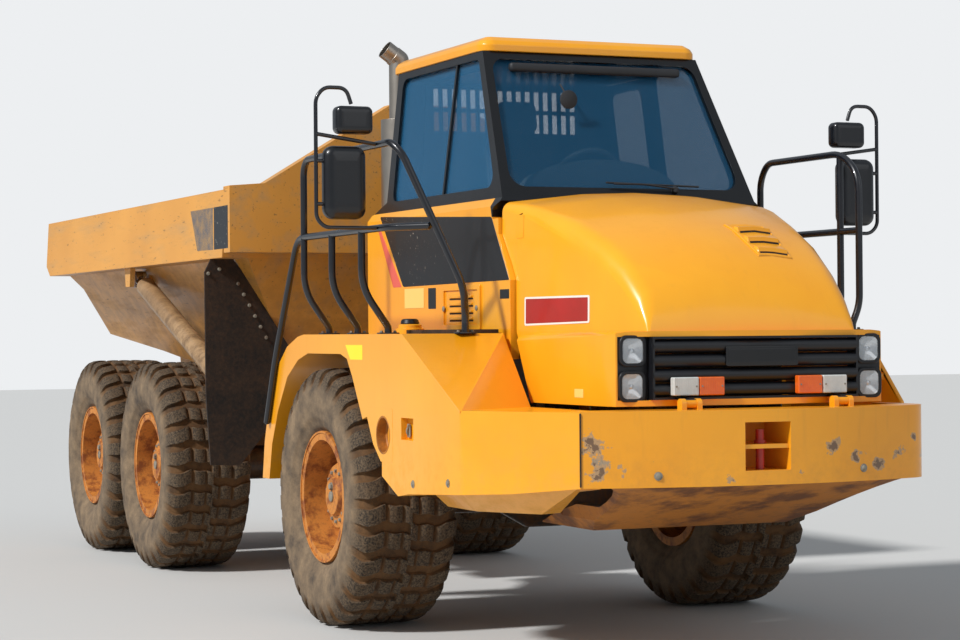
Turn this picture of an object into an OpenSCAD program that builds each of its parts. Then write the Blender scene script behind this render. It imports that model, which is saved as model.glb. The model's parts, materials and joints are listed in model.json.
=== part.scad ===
// Articulated dump truck on three axles, in millimetres.
// +Z is up, -Y is the front and +X is the truck's left side. The origin is on the ground
// below the middle of the whole length. Most outlines are drawn from the front axle.

/* [Wheels] */
// Tyre diameter over the lugs
tyre_d = 1544; // [1480:2:1580]
// Tyre width over the sidewalls
tyre_w = 650; // [600:5:680]
// Distance between the two tyre centres of an axle
track = 2350; // [2320:5:2400]
// Diameter of the rim flange
rim_d = 790; // [740:5:820]
// Front axle to middle axle
front_to_mid = 3904; // [3850:1:4000]
// Middle axle to rear axle
mid_to_rear = 1700; // [1660:5:1760]

/* [Tractor] */
// Front axle to the foremost point of the bumper
front_reach = 2950; // [2900:5:3000]
// Half width over the fenders
fender_x = 1450; // [1430:5:1470]
// Inner face of the fenders from the centre line
fender_in_x = 885; // [880:1:895]
// Room between the front tyre and the fender over it
arch_gap = 86; // [70:2:110]
// Thickness of the fender over the wheel
fender_t = 115; // [90:5:125]
// Bumper's upper edge
bumper_top = 1350; // [1340:2:1352]
// Bumper's lower edge
bumper_low = 965; // [940:5:990]
// Depth of the bumper's box
bumper_depth = 330; // [300:5:340]
// Half width of the tow opening
tow_half_w = 130; // [110:5:145]
// Diameter of the tow pin
tow_pin_d = 44; // [30:2:54]
// Height of the frame rails
rail_h = 440; // [420:5:450]
// Width of one frame rail
rail_w = 90; // [70:5:110]
// Centre of a frame rail from the centre line
rail_x = 400; // [390:5:420]
// Lower edge of the frame rails
rail_z = 800; // [790:5:810]
// Diameter of an axle housing
axle_d = 260; // [220:5:280]

/* [Cab] */
// Half width of the cab below the windows
cab_x = 850; // [840:2:855]
// Half width of the cab at the window sill
sill_x = 812; // [800:2:820]
// Half width of the cab at the top of the pillars
top_x = 705; // [690:5:720]
// Underside of the cab
cab_low = 1600; // [1590:5:1620]
// Height of the window sill
sill_z = 2500; // [2490:2:2520]
// Height of the roof's lower edge
eaves_z = 3395; // [3380:5:3410]
// Height of the roof
roof_z = 3485; // [3470:5:3500]
// Thickness of the cab walls and pillars
cab_t = 58; // [50:2:64]
// Thickness of the glass
glass_t = 8; // [6:1:10]
// Front of the cab at the sill, ahead of the front axle
cab_front = 1265; // [1255:5:1275]
// Back of the cab below the sill, behind the front axle
cab_back = 790; // [780:5:800]

/* [Hood] */
// Wall of the hood
hood_t = 26; // [18:2:32]
// Hood's lower edge
hood_low = 1366; // [1364:1:1370]
// Height of the grille opening's top
grille_top = 1722; // [1715:1:1726]
// Height of the grille opening's bottom
grille_low = 1398; // [1394:1:1402]
// Half width of the grille between the lamps
grille_x = 612; // [600:2:618]

/* [Hitch] */
// Front axle to the steering pins
hitch_back = 1450; // [1430:5:1470]
// Height of the oscillation tube's centre
hitch_z = 1020; // [1010:2:1030]
// Diameter of the hitch pins
hitch_pin_d = 140; // [110:5:160]
// Diameter of the oscillation tube
osc_tube_d = 300; // [260:5:320]

/* [Rear frame] */
// Lower edge of the rear frame rails
chassis_z = 960; // [950:5:970]
// Height of the rear frame rails
chassis_h = 400; // [380:5:410]
// Front axle to the dump body's pivot
pivot_back = 6050; // [6020:5:6100]
// Height of the dump body's pivot
pivot_z = 1250; // [1230:5:1270]
// Diameter of the dump body's pivot pins
pivot_pin_d = 90; // [70:5:110]

/* [Dump body] */
// Half width of the dump body
body_x = 1450; // [1430:5:1470]
// Front axle to the tail
tail_back = 7220; // [7200:5:7260]
// Front axle to the front of the side rails
body_front = 1820; // [1810:5:1840]
// Top of the side rails
body_top = 2730; // [2710:5:2750]
// Lower edge of the side rails
band_low = 2270; // [2250:5:2290]
// Thickness of the body's plates
plate_t = 40; // [30:2:50]
// Thickness of the side rails
band_t = 110; // [90:5:130]
// Half width of the body's floor
floor_x = 700; // [680:5:720]
// Top of the front wall
wall_top = 3330; // [3300:5:3360]

/* [Cylinders] */
// Bore housing diameter of a hoist cylinder
hoist_d = 150; // [130:2:160]
// Rod diameter of a hoist cylinder
hoist_rod_d = 88; // [70:2:96]
// Bore housing diameter of a steering cylinder
steer_d = 110; // [90:2:120]
// Rod diameter of a steering cylinder
steer_rod_d = 60; // [44:2:70]

/* [Rails and mirrors] */
// Diameter of the handrail tube
rail_tube_d = 42; // [34:2:48]
// Diameter of the mirror frame tube
mirror_tube_d = 24; // [18:2:28]

/* [Hidden] */

// Running gap at seats and pins, and the clearance of panels
seat_gap = 0.3;
panel_gap = 8;
// Round parts, and the round ends of small parts
$fn = 64;
// Front axle's place in the part's frame, and the axles' height
front_axle_y = (front_reach - tail_back) / 2;
axle_z = tyre_d / 2;
mid_y = front_to_mid;
rear_y = front_to_mid + mid_to_rear;
wheel_x = track / 2;
rail_top = rail_z + rail_h;
chassis_top = chassis_z + chassis_h;
// Height of the deck on the fenders
deck_z = tyre_d + arch_gap + fender_t;
// The y of a place that lies this far behind the bumper's foremost point
function nose(back) = back - front_reach;

// Everything is drawn from the front axle and moved to its place once
module placed() { translate([0, front_axle_y, 0]) children(); }
// An outline of [y, z] points, from x0 across to x1
module across(points, x0, x1) {
    translate([x0, 0, 0]) rotate([90, 0, 90]) linear_extrude(x1 - x0) polygon(points);
}
// An outline of [x, z] points, from y0 back to y1
module along(points, y0, y1) {
    translate([0, y1, 0]) rotate([90, 0, 0]) linear_extrude(y1 - y0) polygon(points);
}
// An outline of [x, y] points, from z0 up to z1
module upright(points, z0, z1) {
    translate([0, 0, z0]) linear_extrude(z1 - z0) polygon(points);
}
// A box between two corners
module block(low, high) { translate(low) cube(high - low); }
// A round bar across, along X, from x0 to x1 at [y, z]
module bar_x(d, x0, x1, y, z) {
    translate([x0, y, z]) rotate([0, 90, 0]) cylinder(h = x1 - x0, d = d);
}
// A copy on each side of the centre line
module both_sides() { children(); mirror([1, 0, 0]) children(); }
// Half an outline of [x, z] points, closed with its mirror image
function mirrored(half) = concat(half, [for (i = [len(half) - 1 : -1 : 0]) [-half[i][0], half[i][1]]]);
function unit(v) = v / norm(v);
// An arc of points [c + r cos a, c + r sin a] from a0 to a1 in n steps
function arc(cx, cy, r, a0, a1, n) =
    [for (i = [0 : n]) let (a = a0 + (a1 - a0) * i / n) [cx + r * cos(a), cy + r * sin(a)]];
// A convex outline with its corners rounded to radius r
function fillet(points, r, steps = 5) = let (m = len(points)) [for (i = [0 : m - 1])
    let (p = points[i], a = unit(points[(i + m - 1) % m] - p), b = unit(points[(i + 1) % m] - p),
        half = acos(a * b) / 2, c = p + unit(a + b) * r / sin(half), u = p + a * r / tan(half) - c,
        w = p + b * r / tan(half) - c, a0 = atan2(u[1], u[0]), turn = atan2(w[1], w[0]) - a0,
        span = turn > 180 ? turn - 360 : turn < -180 ? turn + 360 : turn)
    each arc(c[0], c[1], r, a0, a0 + span, steps)];

// A closed skin over rings of equal length
module skin(rings) {
    m = len(rings[0]);
    last = len(rings) - 1;
    polyhedron(
        points = [for (r = rings) each r],
        faces = concat(
            [[for (j = [0 : m - 1]) j]],
            [for (i = [0 : last - 1], j = [0 : m - 1]) let (k = (j + 1) % m)
                each [[i * m + k, i * m + j, (i + 1) * m + j], [i * m + k, (i + 1) * m + j, (i + 1) * m + k]]],
            [[for (j = [m - 1 : -1 : 0]) last * m + j]]));
}
// A tube swept along points; tube_ref is never parallel to a stretch of it
tube_ref = [0.37, 0.61, 0.70];
module tube(points, d, sides = 8) {
    n = len(points);
    skin([for (i = [0 : n - 1])
        let (a = points[max(i - 1, 0)], b = points[min(i + 1, n - 1)],
            u = i == 0 ? unit(b - points[i]) : i == n - 1 ? unit(points[i] - a)
                : unit(unit(b - points[i]) + unit(points[i] - a)),
            e = unit(cross(u, tube_ref)), f = cross(u, e))
        [for (j = [0 : sides - 1]) points[i] + d / 2 * (cos(360 * j / sides) * e + sin(360 * j / sides) * f)]]);
}

// Wheels
rim_r = rim_d / 2;
barrel_r = rim_r - 30;
flange_x = tyre_w * 0.42;
hub_back = 160;
// Half of the tyre's section as [radius, x] from the bead to the tread, which is cut down by wear
function tyre_half(wear) = [
    [barrel_r + seat_gap, 0], [barrel_r + seat_gap, flange_x - 28], [rim_r + 2, flange_x - 24],
    [rim_r + 30, flange_x + 8], [rim_r + 90, tyre_w / 2 - 12], [rim_r + 165, tyre_w / 2],
    [rim_r + 265, tyre_w / 2 - 8], [axle_z - 30 - wear, tyre_w / 2 - 36 - wear / 2],
    [axle_z - wear, tyre_w / 2 - 78 - wear / 2], [axle_z - wear, 0]];
module casing(wear) {
    half = tyre_half(wear);
    rotate_extrude()
        polygon(concat(half, [for (i = [len(half) - 2 : -1 : 1]) [half[i][0], -half[i][1]]]));
}
// Lugs: their height, how many go round each half of the tread, and the share of the pitch that each fills
lug_h = 26;
lug_count = 30;
lug_share = 0.62;
// A star of lugs from x0 to x1, turned by a share of the pitch, that the casing's section then trims
module lug_ring(x0, x1, turn) {
    pitch = 360 / lug_count;
    foot = axle_z - 2 * lug_h;
    tip = axle_z + lug_h;
    lug = [[foot, -lug_share / 2], [tip, -lug_share / 2], [tip, lug_share / 2], [foot, lug_share / 2]];
    translate([0, 0, x0]) linear_extrude(height = x1 - x0)
        polygon([for (i = [0 : lug_count - 1], p = lug)
            let (a = (i + turn + p[1]) * pitch) [p[0] * cos(a), p[0] * sin(a)]]);
}
module tyre(y, side) {
    color("#2a2826") placed() translate([side * wheel_x, y, axle_z]) rotate([0, 90, 0]) {
        casing(lug_h);
        intersection() {
            casing(0);
            union() {
                lug_ring(-tyre_w / 2, 0, 0);
                lug_ring(0, tyre_w / 2, 0.5);
            }
        }
    }
}
// Rim with its flanges, recessed disc and hub, drawn with the outer face towards +X
module rim(y, side) {
    color("chocolate") placed() translate([side * wheel_x, y, axle_z]) rotate([0, side * 90, 0])
    rotate_extrude() {
        polygon([[barrel_r - 24, -flange_x], [rim_r, -flange_x], [rim_r, 22 - flange_x],
            [barrel_r, 26 - flange_x], [barrel_r, flange_x - 26], [rim_r, flange_x - 22],
            [rim_r, flange_x], [barrel_r - 24, flange_x]]);
        polygon([[150, 40], [barrel_r - 12, 40], [barrel_r - 12, 75], [150, 75]]);
        polygon([[0, -hub_back], [175, -hub_back], [175, 30], [210, 30], [210, 150], [188, 182],
            [120, 190], [108, 216], [0, 216]]);
    }
}

// Tractor frame: two rails, the cross members and the plates that carry the steering pins
frame_front = -(front_reach - bumper_depth);
frame_back = 760;
pin_plate_t = 60;
pin_plate_r = 210;
cab_post_ys = [-950, 560];
// Cross members as [y, lower edge]
frame_members = [[nose(550), rail_z + 110], [-1350, rail_z + 20], [500, rail_z + 20]];
module front_frame() {
    color("dimgray") placed() difference() {
        union() {
            both_sides() {
                across([[frame_front, rail_z + 200], [nose(800), rail_z], [frame_back, rail_z],
                    [frame_back, rail_top], [frame_front, rail_top]], rail_x - rail_w / 2, rail_x + rail_w / 2);
                // Posts that carry the cab
                for (y = cab_post_ys)
                    block([rail_x - rail_w / 2, y - 60, rail_top - 10], [rail_x + rail_w / 2, y + 60, cab_low]);
                // Outriggers to the fenders
                block([rail_x, -1160, 1150], [fender_in_x, -1060, 1230]);
                block([rail_x - 60, 985, rail_z - 10], [fender_in_x, 1065, 900]);
                // Ears for the steering cylinders
                steer_ear(steer_base);
            }
            for (m = frame_members) block([-rail_x, m[0] - 60, m[1]], [rail_x, m[0] + 60, rail_z + 190]);
            // Engine mounts
            for (y = [nose(510), -1440]) block([-rail_x, y, rail_z + 160], [rail_x, y + 100, engine_low]);
            for (z = [rail_z - pin_plate_t, rail_top])
                upright(concat([[-rail_x - 60, 420], [-rail_x - 60, 1090]],
                    arc(0, hitch_back, pin_plate_r, 180, 0, 12), [[rail_x + 60, 1090], [rail_x + 60, 420]]),
                    z, z + pin_plate_t);
        }
        for (z = [rail_z - pin_plate_t, rail_top])
            translate([0, hitch_back, z - 1]) cylinder(h = pin_plate_t + 2, d = hitch_pin_d + 2 * seat_gap);
        // Room for the axle housing
        bar_x(axle_d + 70, -rail_x - 60, rail_x + 60, 0, axle_z);
    }
}

// Steering cylinders: [x, y] of the pin on the frame and of the rod's eye
steer_z = hitch_z;
steer_base = [640, 300];
steer_eye = [360, hitch_back + 150];
steer_ear_t = 40;
steer_eye_t = 64;
// Two ears above and below the cylinder's foot
module steer_ear(at) {
    for (s = [-1, 1])
        translate([0, 0, steer_z + s * (steer_eye_t / 2 + seat_gap + steer_ear_t / 2)])
            linear_extrude(steer_ear_t, center = true) difference() {
                union() {
                    translate(at) circle(d = 120);
                    translate([rail_x, at[1] - 60]) square([at[0] - rail_x, 120]);
                }
                translate(at) circle(d = 50 + 2 * seat_gap);
            }
}

module front_axle() {
    color("dimgray") placed() {
        bar_x(axle_d, -(wheel_x - hub_back - seat_gap), wheel_x - hub_back - seat_gap, 0, axle_z);
        differential(0);
        // Suspension struts up to the rails, and the links that hold the axle
        both_sides() {
            translate([rail_x + rail_w / 2 + 62, 0, axle_z + axle_d / 2 - 20]) cylinder(h = 380, d = 110);
            block([rail_x + rail_w / 2 + seat_gap, -70, axle_z + axle_d / 2 + 300],
                [rail_x + rail_w / 2 + 120, 70, axle_z + axle_d / 2 + 362]);
            translate([300, 0, rail_z - pin_plate_t / 2]) rotate([-90, 0, 0])
                cylinder(h = 420 - seat_gap, d = 56);
        }
    }
}
// Round differential housing in the middle of an axle
module differential(y) {
    translate([0, y, axle_z]) rotate([0, 90, 0]) rotate_extrude()
        polygon([[0, -300], [axle_d / 2, -300], [235, -110], [235, 110], [axle_d / 2, 300], [0, 300]]);
    translate([0, y, axle_z]) rotate([-90, 0, 0]) cylinder(h = 330, d1 = 380, d2 = 170);
}

engine_low = 1010;
module engine_block() {
    color("gray") placed() block([-330, nose(560), engine_low], [330, -1340, 1830]);
}

// Sloping guard under the bumper, wide at the bumper and narrow at its foot
guard_foot_z = 680;
guard_foot_x = 600;
guard_x = 930;
guard_t = 40;
guard_arch_r = 280;
module guard_form(t) {
    hull() {
        upright(mirrored([[guard_x - t, frame_front], [guard_x - t, nose(260) + t], [600, nose(120) + t]]),
            bumper_low - seat_gap - 8, bumper_low - seat_gap + t);
        block([-guard_foot_x + t, -1950 + t, guard_foot_z + t],
            [guard_foot_x - t, -1300 + t, guard_foot_z + t + 8]);
    }
}
module belly_guard() {
    color("sienna") placed() difference() {
        guard_form(0);
        guard_form(guard_t);
        // Arches at both ends, below the bumper
        both_sides() along(arc(guard_x + 30, guard_foot_z + 20, guard_arch_r, 0, 348, 29), nose(0), nose(1200));
    }
}

// Bumper in plan, from the square right end over the bowed front to the rounded left end
bumper_end = 1060;
bumper_left = 985;
bumper_round = 160;
bumper_bow = 200;
bumper_side_y = nose(bumper_bow);
bumper_back = nose(620);
function bow(x) = nose(bumper_bow * pow(x / bumper_end, 2));
// The rounded corner leaves the bow where both run at the same angle
corner_a = atan(2 * bumper_bow * bumper_left / pow(bumper_end, 2));
corner_x = bumper_left - bumper_round * (1 - sin(corner_a));
bumper_front_line = concat([for (x = [-bumper_end : bumper_end / 5 : corner_x - 10]) [x, bow(x)]],
    arc(bumper_left - bumper_round, bow(corner_x) + bumper_round * cos(corner_a), bumper_round,
        corner_a - 90, 0, 6));
tow_x = -95;
tow_low = 1040;
tow_high = 1285;
// Plate across the tow opening, which carries the pin
tow_plate_z = 1150;
tow_plate_t = 22;
tow_pin_y = nose(90);
module bumper() {
    color("orange") placed() {
        difference() {
            upright(concat(bumper_front_line, [[bumper_left, bumper_back], [bumper_left - 70, bumper_back],
                [bumper_left - 110, frame_front - seat_gap], [-bumper_end, frame_front - seat_gap]]),
                bumper_low, bumper_top);
            // Tow opening from the front face back to the frame
            block([tow_x - tow_half_w, nose(-1), tow_low], [tow_x + tow_half_w, frame_front - 60, tow_high]);
        }
        difference() {
            block([tow_x - tow_half_w - 5, nose(18), tow_plate_z],
                [tow_x + tow_half_w + 5, frame_front - 50, tow_plate_z + tow_plate_t]);
            translate([tow_x, tow_pin_y, tow_plate_z - 10])
                cylinder(h = tow_plate_t + 20, d = tow_pin_d + 2 * seat_gap);
        }
        // Hinge ears of the hood
        both_sides() for (x = [hood_ear_x - 45, hood_ear_x + 45]) hood_ear(x);
        both_sides() bar_x(24, hood_ear_x - 60, hood_ear_x + 60, hood_hinge[0], hood_hinge[1]);
    }
}
// Pin that drops through the tow plate, with its foot on the bumper's floor
module tow_pin() {
    color("crimson") placed() {
        translate([tow_x, tow_pin_y, tow_low + seat_gap])
            cylinder(h = tow_high - tow_low - 40, d = tow_pin_d);
        translate([tow_x, tow_pin_y, tow_plate_z + tow_plate_t + seat_gap])
            cylinder(h = 18, d = tow_pin_d + 18);
    }
}
// Hood hinge: [y, z] of its pin, and the ears' place on the bumper
hood_hinge = [nose(178), bumper_top + 30];
hood_ear_x = 450;
module hood_ear(x) {
    difference() {
        union() {
            block([x - 14, hood_hinge[0] - 26, bumper_top - 5],
                [x + 14, hood_hinge[0] + 26, hood_hinge[1]]);
            bar_x(52, x - 14, x + 14, hood_hinge[0], hood_hinge[1]);
        }
        bar_x(20, x - 20, x + 20, hood_hinge[0], hood_hinge[1]);
    }
}

// Points about the front wheel's centre, from a table of [angle from the rear, gap to the tyre]
function around(table) = [for (p = table) let (r = tyre_d / 2 + p[1]) [r * cos(p[0]), axle_z + r * sin(p[0])]];
// Wheel arch from the front low corner over the wheel to the rear low corner
arch_line = concat(around([[176.4, 475], [167, 167], [145, 76], [126, 128], [118, 168]]),
    [[-330, deck_z - fender_t], [250, deck_z - fender_t]],
    around([[62, 152], [48, 182], [30.5, 191], [16.3, 218], [3, 239]]));
// Outer face of the fender behind the wheel, from its foot up to the deck
fender_rear_line = concat(around([[2.6, 374], [14.7, 365], [28.7, 368], [41.7, 367], [54.5, 331]]),
    [[440, deck_z - 14], [330, deck_z]]);
arch_foot = arch_line[0];
deck_front = arch_foot[0] - 175;
// Locker ahead of the right wheel: its outer front corner, and its top below the slope
locker_corner_y = nose(820);
locker_top = bumper_top - 4;
keel_z = 812;
locker_plan = [[-fender_in_x, -1000], [-fender_in_x, frame_front + seat_gap],
    [-bumper_end - seat_gap, frame_front + seat_gap], [-bumper_end - seat_gap, bumper_side_y],
    [-fender_x + 16, locker_corner_y - 24], [-fender_x, locker_corner_y + 16], [-fender_x, -1000]];
// Its slope, as [x, y of the upper edge, y of the foot] at the outer and the inner side
locker_slope = [[-fender_x, deck_front + 100, locker_corner_y], [-fender_in_x - 10, deck_front, nose(1175)]];
module locker() {
    intersection() {
        across(concat([[nose(190), bumper_low], [nose(550), bumper_low - 40], [arch_foot[0] - 155, 870]],
            [for (i = [0 : 2]) arch_line[i]], [[arch_line[2][0], locker_top], [nose(190), locker_top]]),
            -fender_x, -fender_in_x);
        upright(locker_plan, 800, deck_z + 1);
    }
    hull() for (e = locker_slope)
        across([[-1000, locker_top - 10], [e[2], locker_top - 10], [e[2], locker_top], [e[1], deck_z],
            [-1000, deck_z]], e[0], e[0] + 10);
    // Keel under the locker
    hull() {
        upright([[-fender_x + 20, -1500], [-fender_x + 20, locker_corner_y], [-bumper_end - 10, nose(230)],
            [-fender_in_x - 60, nose(400)], [-fender_in_x, -1500]], bumper_low - 6, bumper_low);
        upright([[-1300, -1600], [-1300, nose(950)], [-1090, nose(600)], [-960, nose(650)], [-960, -1600]],
            keel_z, keel_z + 10);
    }
}
// Right fender: deck, wheel arch and the locker
module fender_right() {
    color("orange") placed() difference() {
        union() {
            across(concat([[-1100, deck_z], [-1100, locker_top]],
                [for (i = [2 : len(arch_line) - 1]) arch_line[i]], fender_rear_line), -fender_x, -fender_in_x);
            locker();
        }
        // Round recess and slot in the locker's side
        bar_x(210, -fender_x - 1, -fender_x + 40, -1016, 1174);
        block([-fender_x - 1, -1480, 1165], [-fender_x + 40, -1300, 1285]);
    }
}
// Left fender: deck and arch, with the access steps ahead of the wheel
step_in_x = 1000;
step_plate_t = 30;
module fender_left() {
    color("orange") placed() {
        across(concat(arch_line, fender_rear_line, [[deck_front, deck_z], [deck_front - 60, deck_z - 25],
            [deck_front + 120, 1180], [deck_front + 90, arch_foot[1]]]), fender_in_x, fender_x);
        // Side plates and treads of the steps
        for (x = [step_in_x, fender_x - step_plate_t])
            across([[deck_front + 108, 1120], [deck_front + 85, 1000], [deck_front - 220, 1000],
                [deck_front - 440, 1330], [deck_front - 80, deck_z - 55], [deck_front, deck_z - 55]],
                x, x + step_plate_t);
        // Treads as [distance ahead of the deck, height]
        for (s = [[110, 1005], [220, 1230], [170, 1460]])
            block([step_in_x, deck_front - s[0] - 90, s[1]], [fender_x, deck_front - s[0] + 90, s[1] + 30]);
    }
}

// Cab outlines, each drawn again smaller by an inset for its walls and glass
function cab_section(t) = mirrored([[0, cab_low + t], [cab_x - t, cab_low + t], [cab_x - t, sill_z - 40],
    [sill_x - t, sill_z + 10], [top_x - t, eaves_z - t], [0, eaves_z - t]]);
function cab_side(t) = [[-cab_front + 65 + t, cab_low + t], [-cab_front + 65 + t, sill_z - 60],
    [-cab_front + t, sill_z - 10], [-745 + t, eaves_z - t], [590 - t, eaves_z - t], [560 - t, sill_z + 75],
    [cab_back - t, sill_z - t / 2], [cab_back - t, cab_low + t]];
module cab_form(t) {
    intersection() {
        along(cab_section(t), -1400, 900);
        across(cab_side(t), -900, 900);
    }
}
module cab_layer(t0, t1) { difference() { cab_form(t0); cab_form(t1); } }
// Window openings as outlines, with rounded corners
window_top = 3350;
window_r = 60;
window_low = sill_z + 75;
right_window = fillet([[-1130, window_low], [-700, window_top], [500, window_top], [465, window_low]], window_r);
left_window = fillet([[-1130, window_low], [-700, window_top], [-215, window_top], [-215, window_low]],
    window_r);
door_line = [[-140, cab_low + 170], [-140, window_top], [470, window_top], [470, cab_low + 170]];
door_window = fillet([[-75, 2140], [-75, 3290], [410, 3290], [410, 2140]], window_r);
screen = fillet([[-sill_x + 70, window_low], [-top_x + 45, window_top], [top_x - 45, window_top],
    [sill_x - 70, window_low]], 85);
rear_window = fillet([[-560, sill_z + 130], [-520, 3310], [520, 3310], [560, sill_z + 130]], window_r);
module screen_hole() { along(screen, -1400, -500); }
module side_holes() {
    across(right_window, -900, -500);
    across(left_window, 500, 900);
}
module rear_hole() { along(rear_window, 420, 640); }
module door_hole(gap) {
    p = door_line;
    across([[p[0][0] + 2 * gap, p[0][1] + gap], [p[1][0] + 2 * gap, p[1][1] - gap],
        [p[2][0] - gap, p[2][1] - gap], [p[3][0] - gap, p[3][1] + gap]], 560, 900);
}
module cab_walls() {
    difference() {
        cab_layer(0, cab_t);
        screen_hole();
        side_holes();
        rear_hole();
        door_hole(0);
    }
}
split_z = sill_z + 8;
screen_foot_z = 2400;
// The black upper frame: above the sill, and lower down round the foot of the windscreen
module upper_part(gap) {
    across([[-1400, screen_foot_z + gap], [-cab_front + 75 - gap, screen_foot_z + gap],
        [-cab_front + 105 - gap, split_z + gap], [1000, split_z + gap], [1000, eaves_z + 10],
        [-1400, eaves_z + 10]], -1000, 1000);
}
// Cheeks that run forward beside the hood's back edge, as [y, z]
cheek_y = 1440;
cheek_line = [[-1190, cab_low], [-cheek_y, cab_low], [-cheek_y, 2040], [-1284, 2300],
    [-1284, screen_foot_z - 10], [-1190, screen_foot_z - 10]];
// Door hinges: [x, y] of their pins, and the heights where each pair of knuckles meets
door_hinge = [866, 470];
door_hinge_zs = [1900, 2360];
module cab_lower() {
    color("orange") placed() {
        difference() {
            cab_walls();
            upper_part(0);
        }
        both_sides() across(cheek_line, cab_x - 50, cab_x);
        for (z = door_hinge_zs) {
            translate([door_hinge[0], door_hinge[1], z - 50]) cylinder(h = 90, d = 16);
            translate([door_hinge[0], door_hinge[1], z - 50]) cylinder(h = 50, d = 30);
            block([cab_x - 10, door_hinge[1] + 4, z - 50], [door_hinge[0] + 8, door_hinge[1] + 50, z]);
        }
    }
}
module cab_frame() {
    color("black") placed() intersection() {
        cab_walls();
        upper_part(seat_gap);
    }
}
// Roof cap with a turned-down lip behind the back window
roof_x = top_x + 10;
roof_front = -760;
roof_back = 700;
roof_round = 90;
// Its layers as [how far the edge is drawn in, height]
roof_layers = [[0, eaves_z + seat_gap], [0, eaves_z + 38], [16, eaves_z + 64], [60, roof_z - 1]];
module cab_roof() {
    color("orange") placed() {
        hull() for (p = roof_layers, x = [-1, 1], y = [roof_front + roof_round, roof_back - roof_round])
            translate([x * (roof_x - roof_round), y, p[1]]) cylinder(h = 1, r = roof_round - p[0], $fn = 32);
        across([[602, eaves_z - 55], [roof_back - 14, eaves_z - 50], [roof_back - 4, eaves_z + 10],
            [roof_back - 20, eaves_z + 30], [602, eaves_z + 30]], -top_x + 85, top_x - 85);
    }
}
module cab_glass() {
    color("steelblue", 0.4) placed() intersection() {
        cab_layer(18, 18 + glass_t);
        union() {
            screen_hole();
            side_holes();
            rear_hole();
        }
    }
}
// Guard inside the back window, with two rows of upright slots
screen_slots = 16;
slot_pitch = 64;
slot_w = 36;
slot_h = 122;
slot_zs = [3035, 3184];
module rear_screen() {
    first = -(screen_slots - 1) / 2 * slot_pitch;
    color("black") placed() difference() {
        intersection() {
            cab_layer(cab_t + seat_gap, cab_t + 8);
            along(mirrored([[0, 2600], [590, 2600], [548, 3328], [0, 3328]]), 430, 600);
        }
        for (i = [0 : screen_slots - 1], z = slot_zs) let (x = first + i * slot_pitch)
            block([x - slot_w / 2, 300, z], [x + slot_w / 2, 600, z + slot_h]);
    }
}
module cab_door() {
    color("black") placed() {
        difference() {
            intersection() {
                cab_layer(0, cab_t - 14);
                door_hole(panel_gap);
            }
            across(door_window, 560, 900);
        }
        // Knuckles on the hinge pins
        for (z = door_hinge_zs) translate([door_hinge[0], door_hinge[1], z + seat_gap]) difference() {
            union() {
                cylinder(h = 40, d = 30);
                block([cab_x - 10 - door_hinge[0], -60, 0], [8, -8, 40 - seat_gap]);
                block([-8, -20, 0], [8, 0, 40 - seat_gap]);
            }
            translate([0, 0, -1]) cylinder(h = 60, d = 16 + 2 * seat_gap);
        }
    }
}
module door_glass() {
    color("steelblue", 0.4) placed() intersection() {
        cab_layer(18, 18 + glass_t);
        across(door_window, 560, 900);
    }
}
// Driver's seat: a pedestal, a cushion, a back and a headrest
cab_floor = cab_low + cab_t;
seat_x = 30;
seat_low = 2190;
seat_top = seat_low + 140;
module seat() {
    back_foot = seat_top - 10;
    color("dimgray") placed() translate([seat_x, 0, 0]) {
        block([-200, -60, cab_floor + seat_gap], [200, 300, seat_low]);
        block([-260, -200, seat_low], [260, 320, seat_top]);
        across([[220, back_foot], [350, back_foot], [450, back_foot + 690], [350, back_foot + 700]], -250, 250);
        across([[350, back_foot + 690], [445, back_foot + 685], [460, back_foot + 920], [380, back_foot + 920]],
            -150, 150);
    }
}
// Dashboard with its domed hood over the dials, and the steering column and wheel
wheel_foot = [0, -900, 2470];
wheel_rim_r = 205;
dash_low = cab_floor + 542;
dash_top = dash_low + 340;
module console() {
    inner_y = cab_t - cab_front + 65 + seat_gap;
    color("dimgray") placed() {
        across([[inner_y, dash_low], [inner_y, dash_low + 170], [-1140, dash_top], [-860, dash_top],
            [-840, dash_low],
            [-980, cab_floor + seat_gap], [-1100, cab_floor + seat_gap]], -640, 640);
        along([for (a = [180 : -15 : 0]) [-60 + 500 * cos(a), dash_top - 1 + 215 * sin(a)]], -1030, -860);
        translate(wheel_foot) rotate([-52, 0, 0]) {
            cylinder(h = 330, d = 70);
            translate([0, 0, 320]) rotate_extrude() translate([wheel_rim_r, 0]) circle(d = 30, $fn = 16);
            for (a = [90, 210, 330]) rotate([0, 0, a]) translate([0, -20, 312]) cube([wheel_rim_r, 40, 16]);
        }
    }
}

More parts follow.
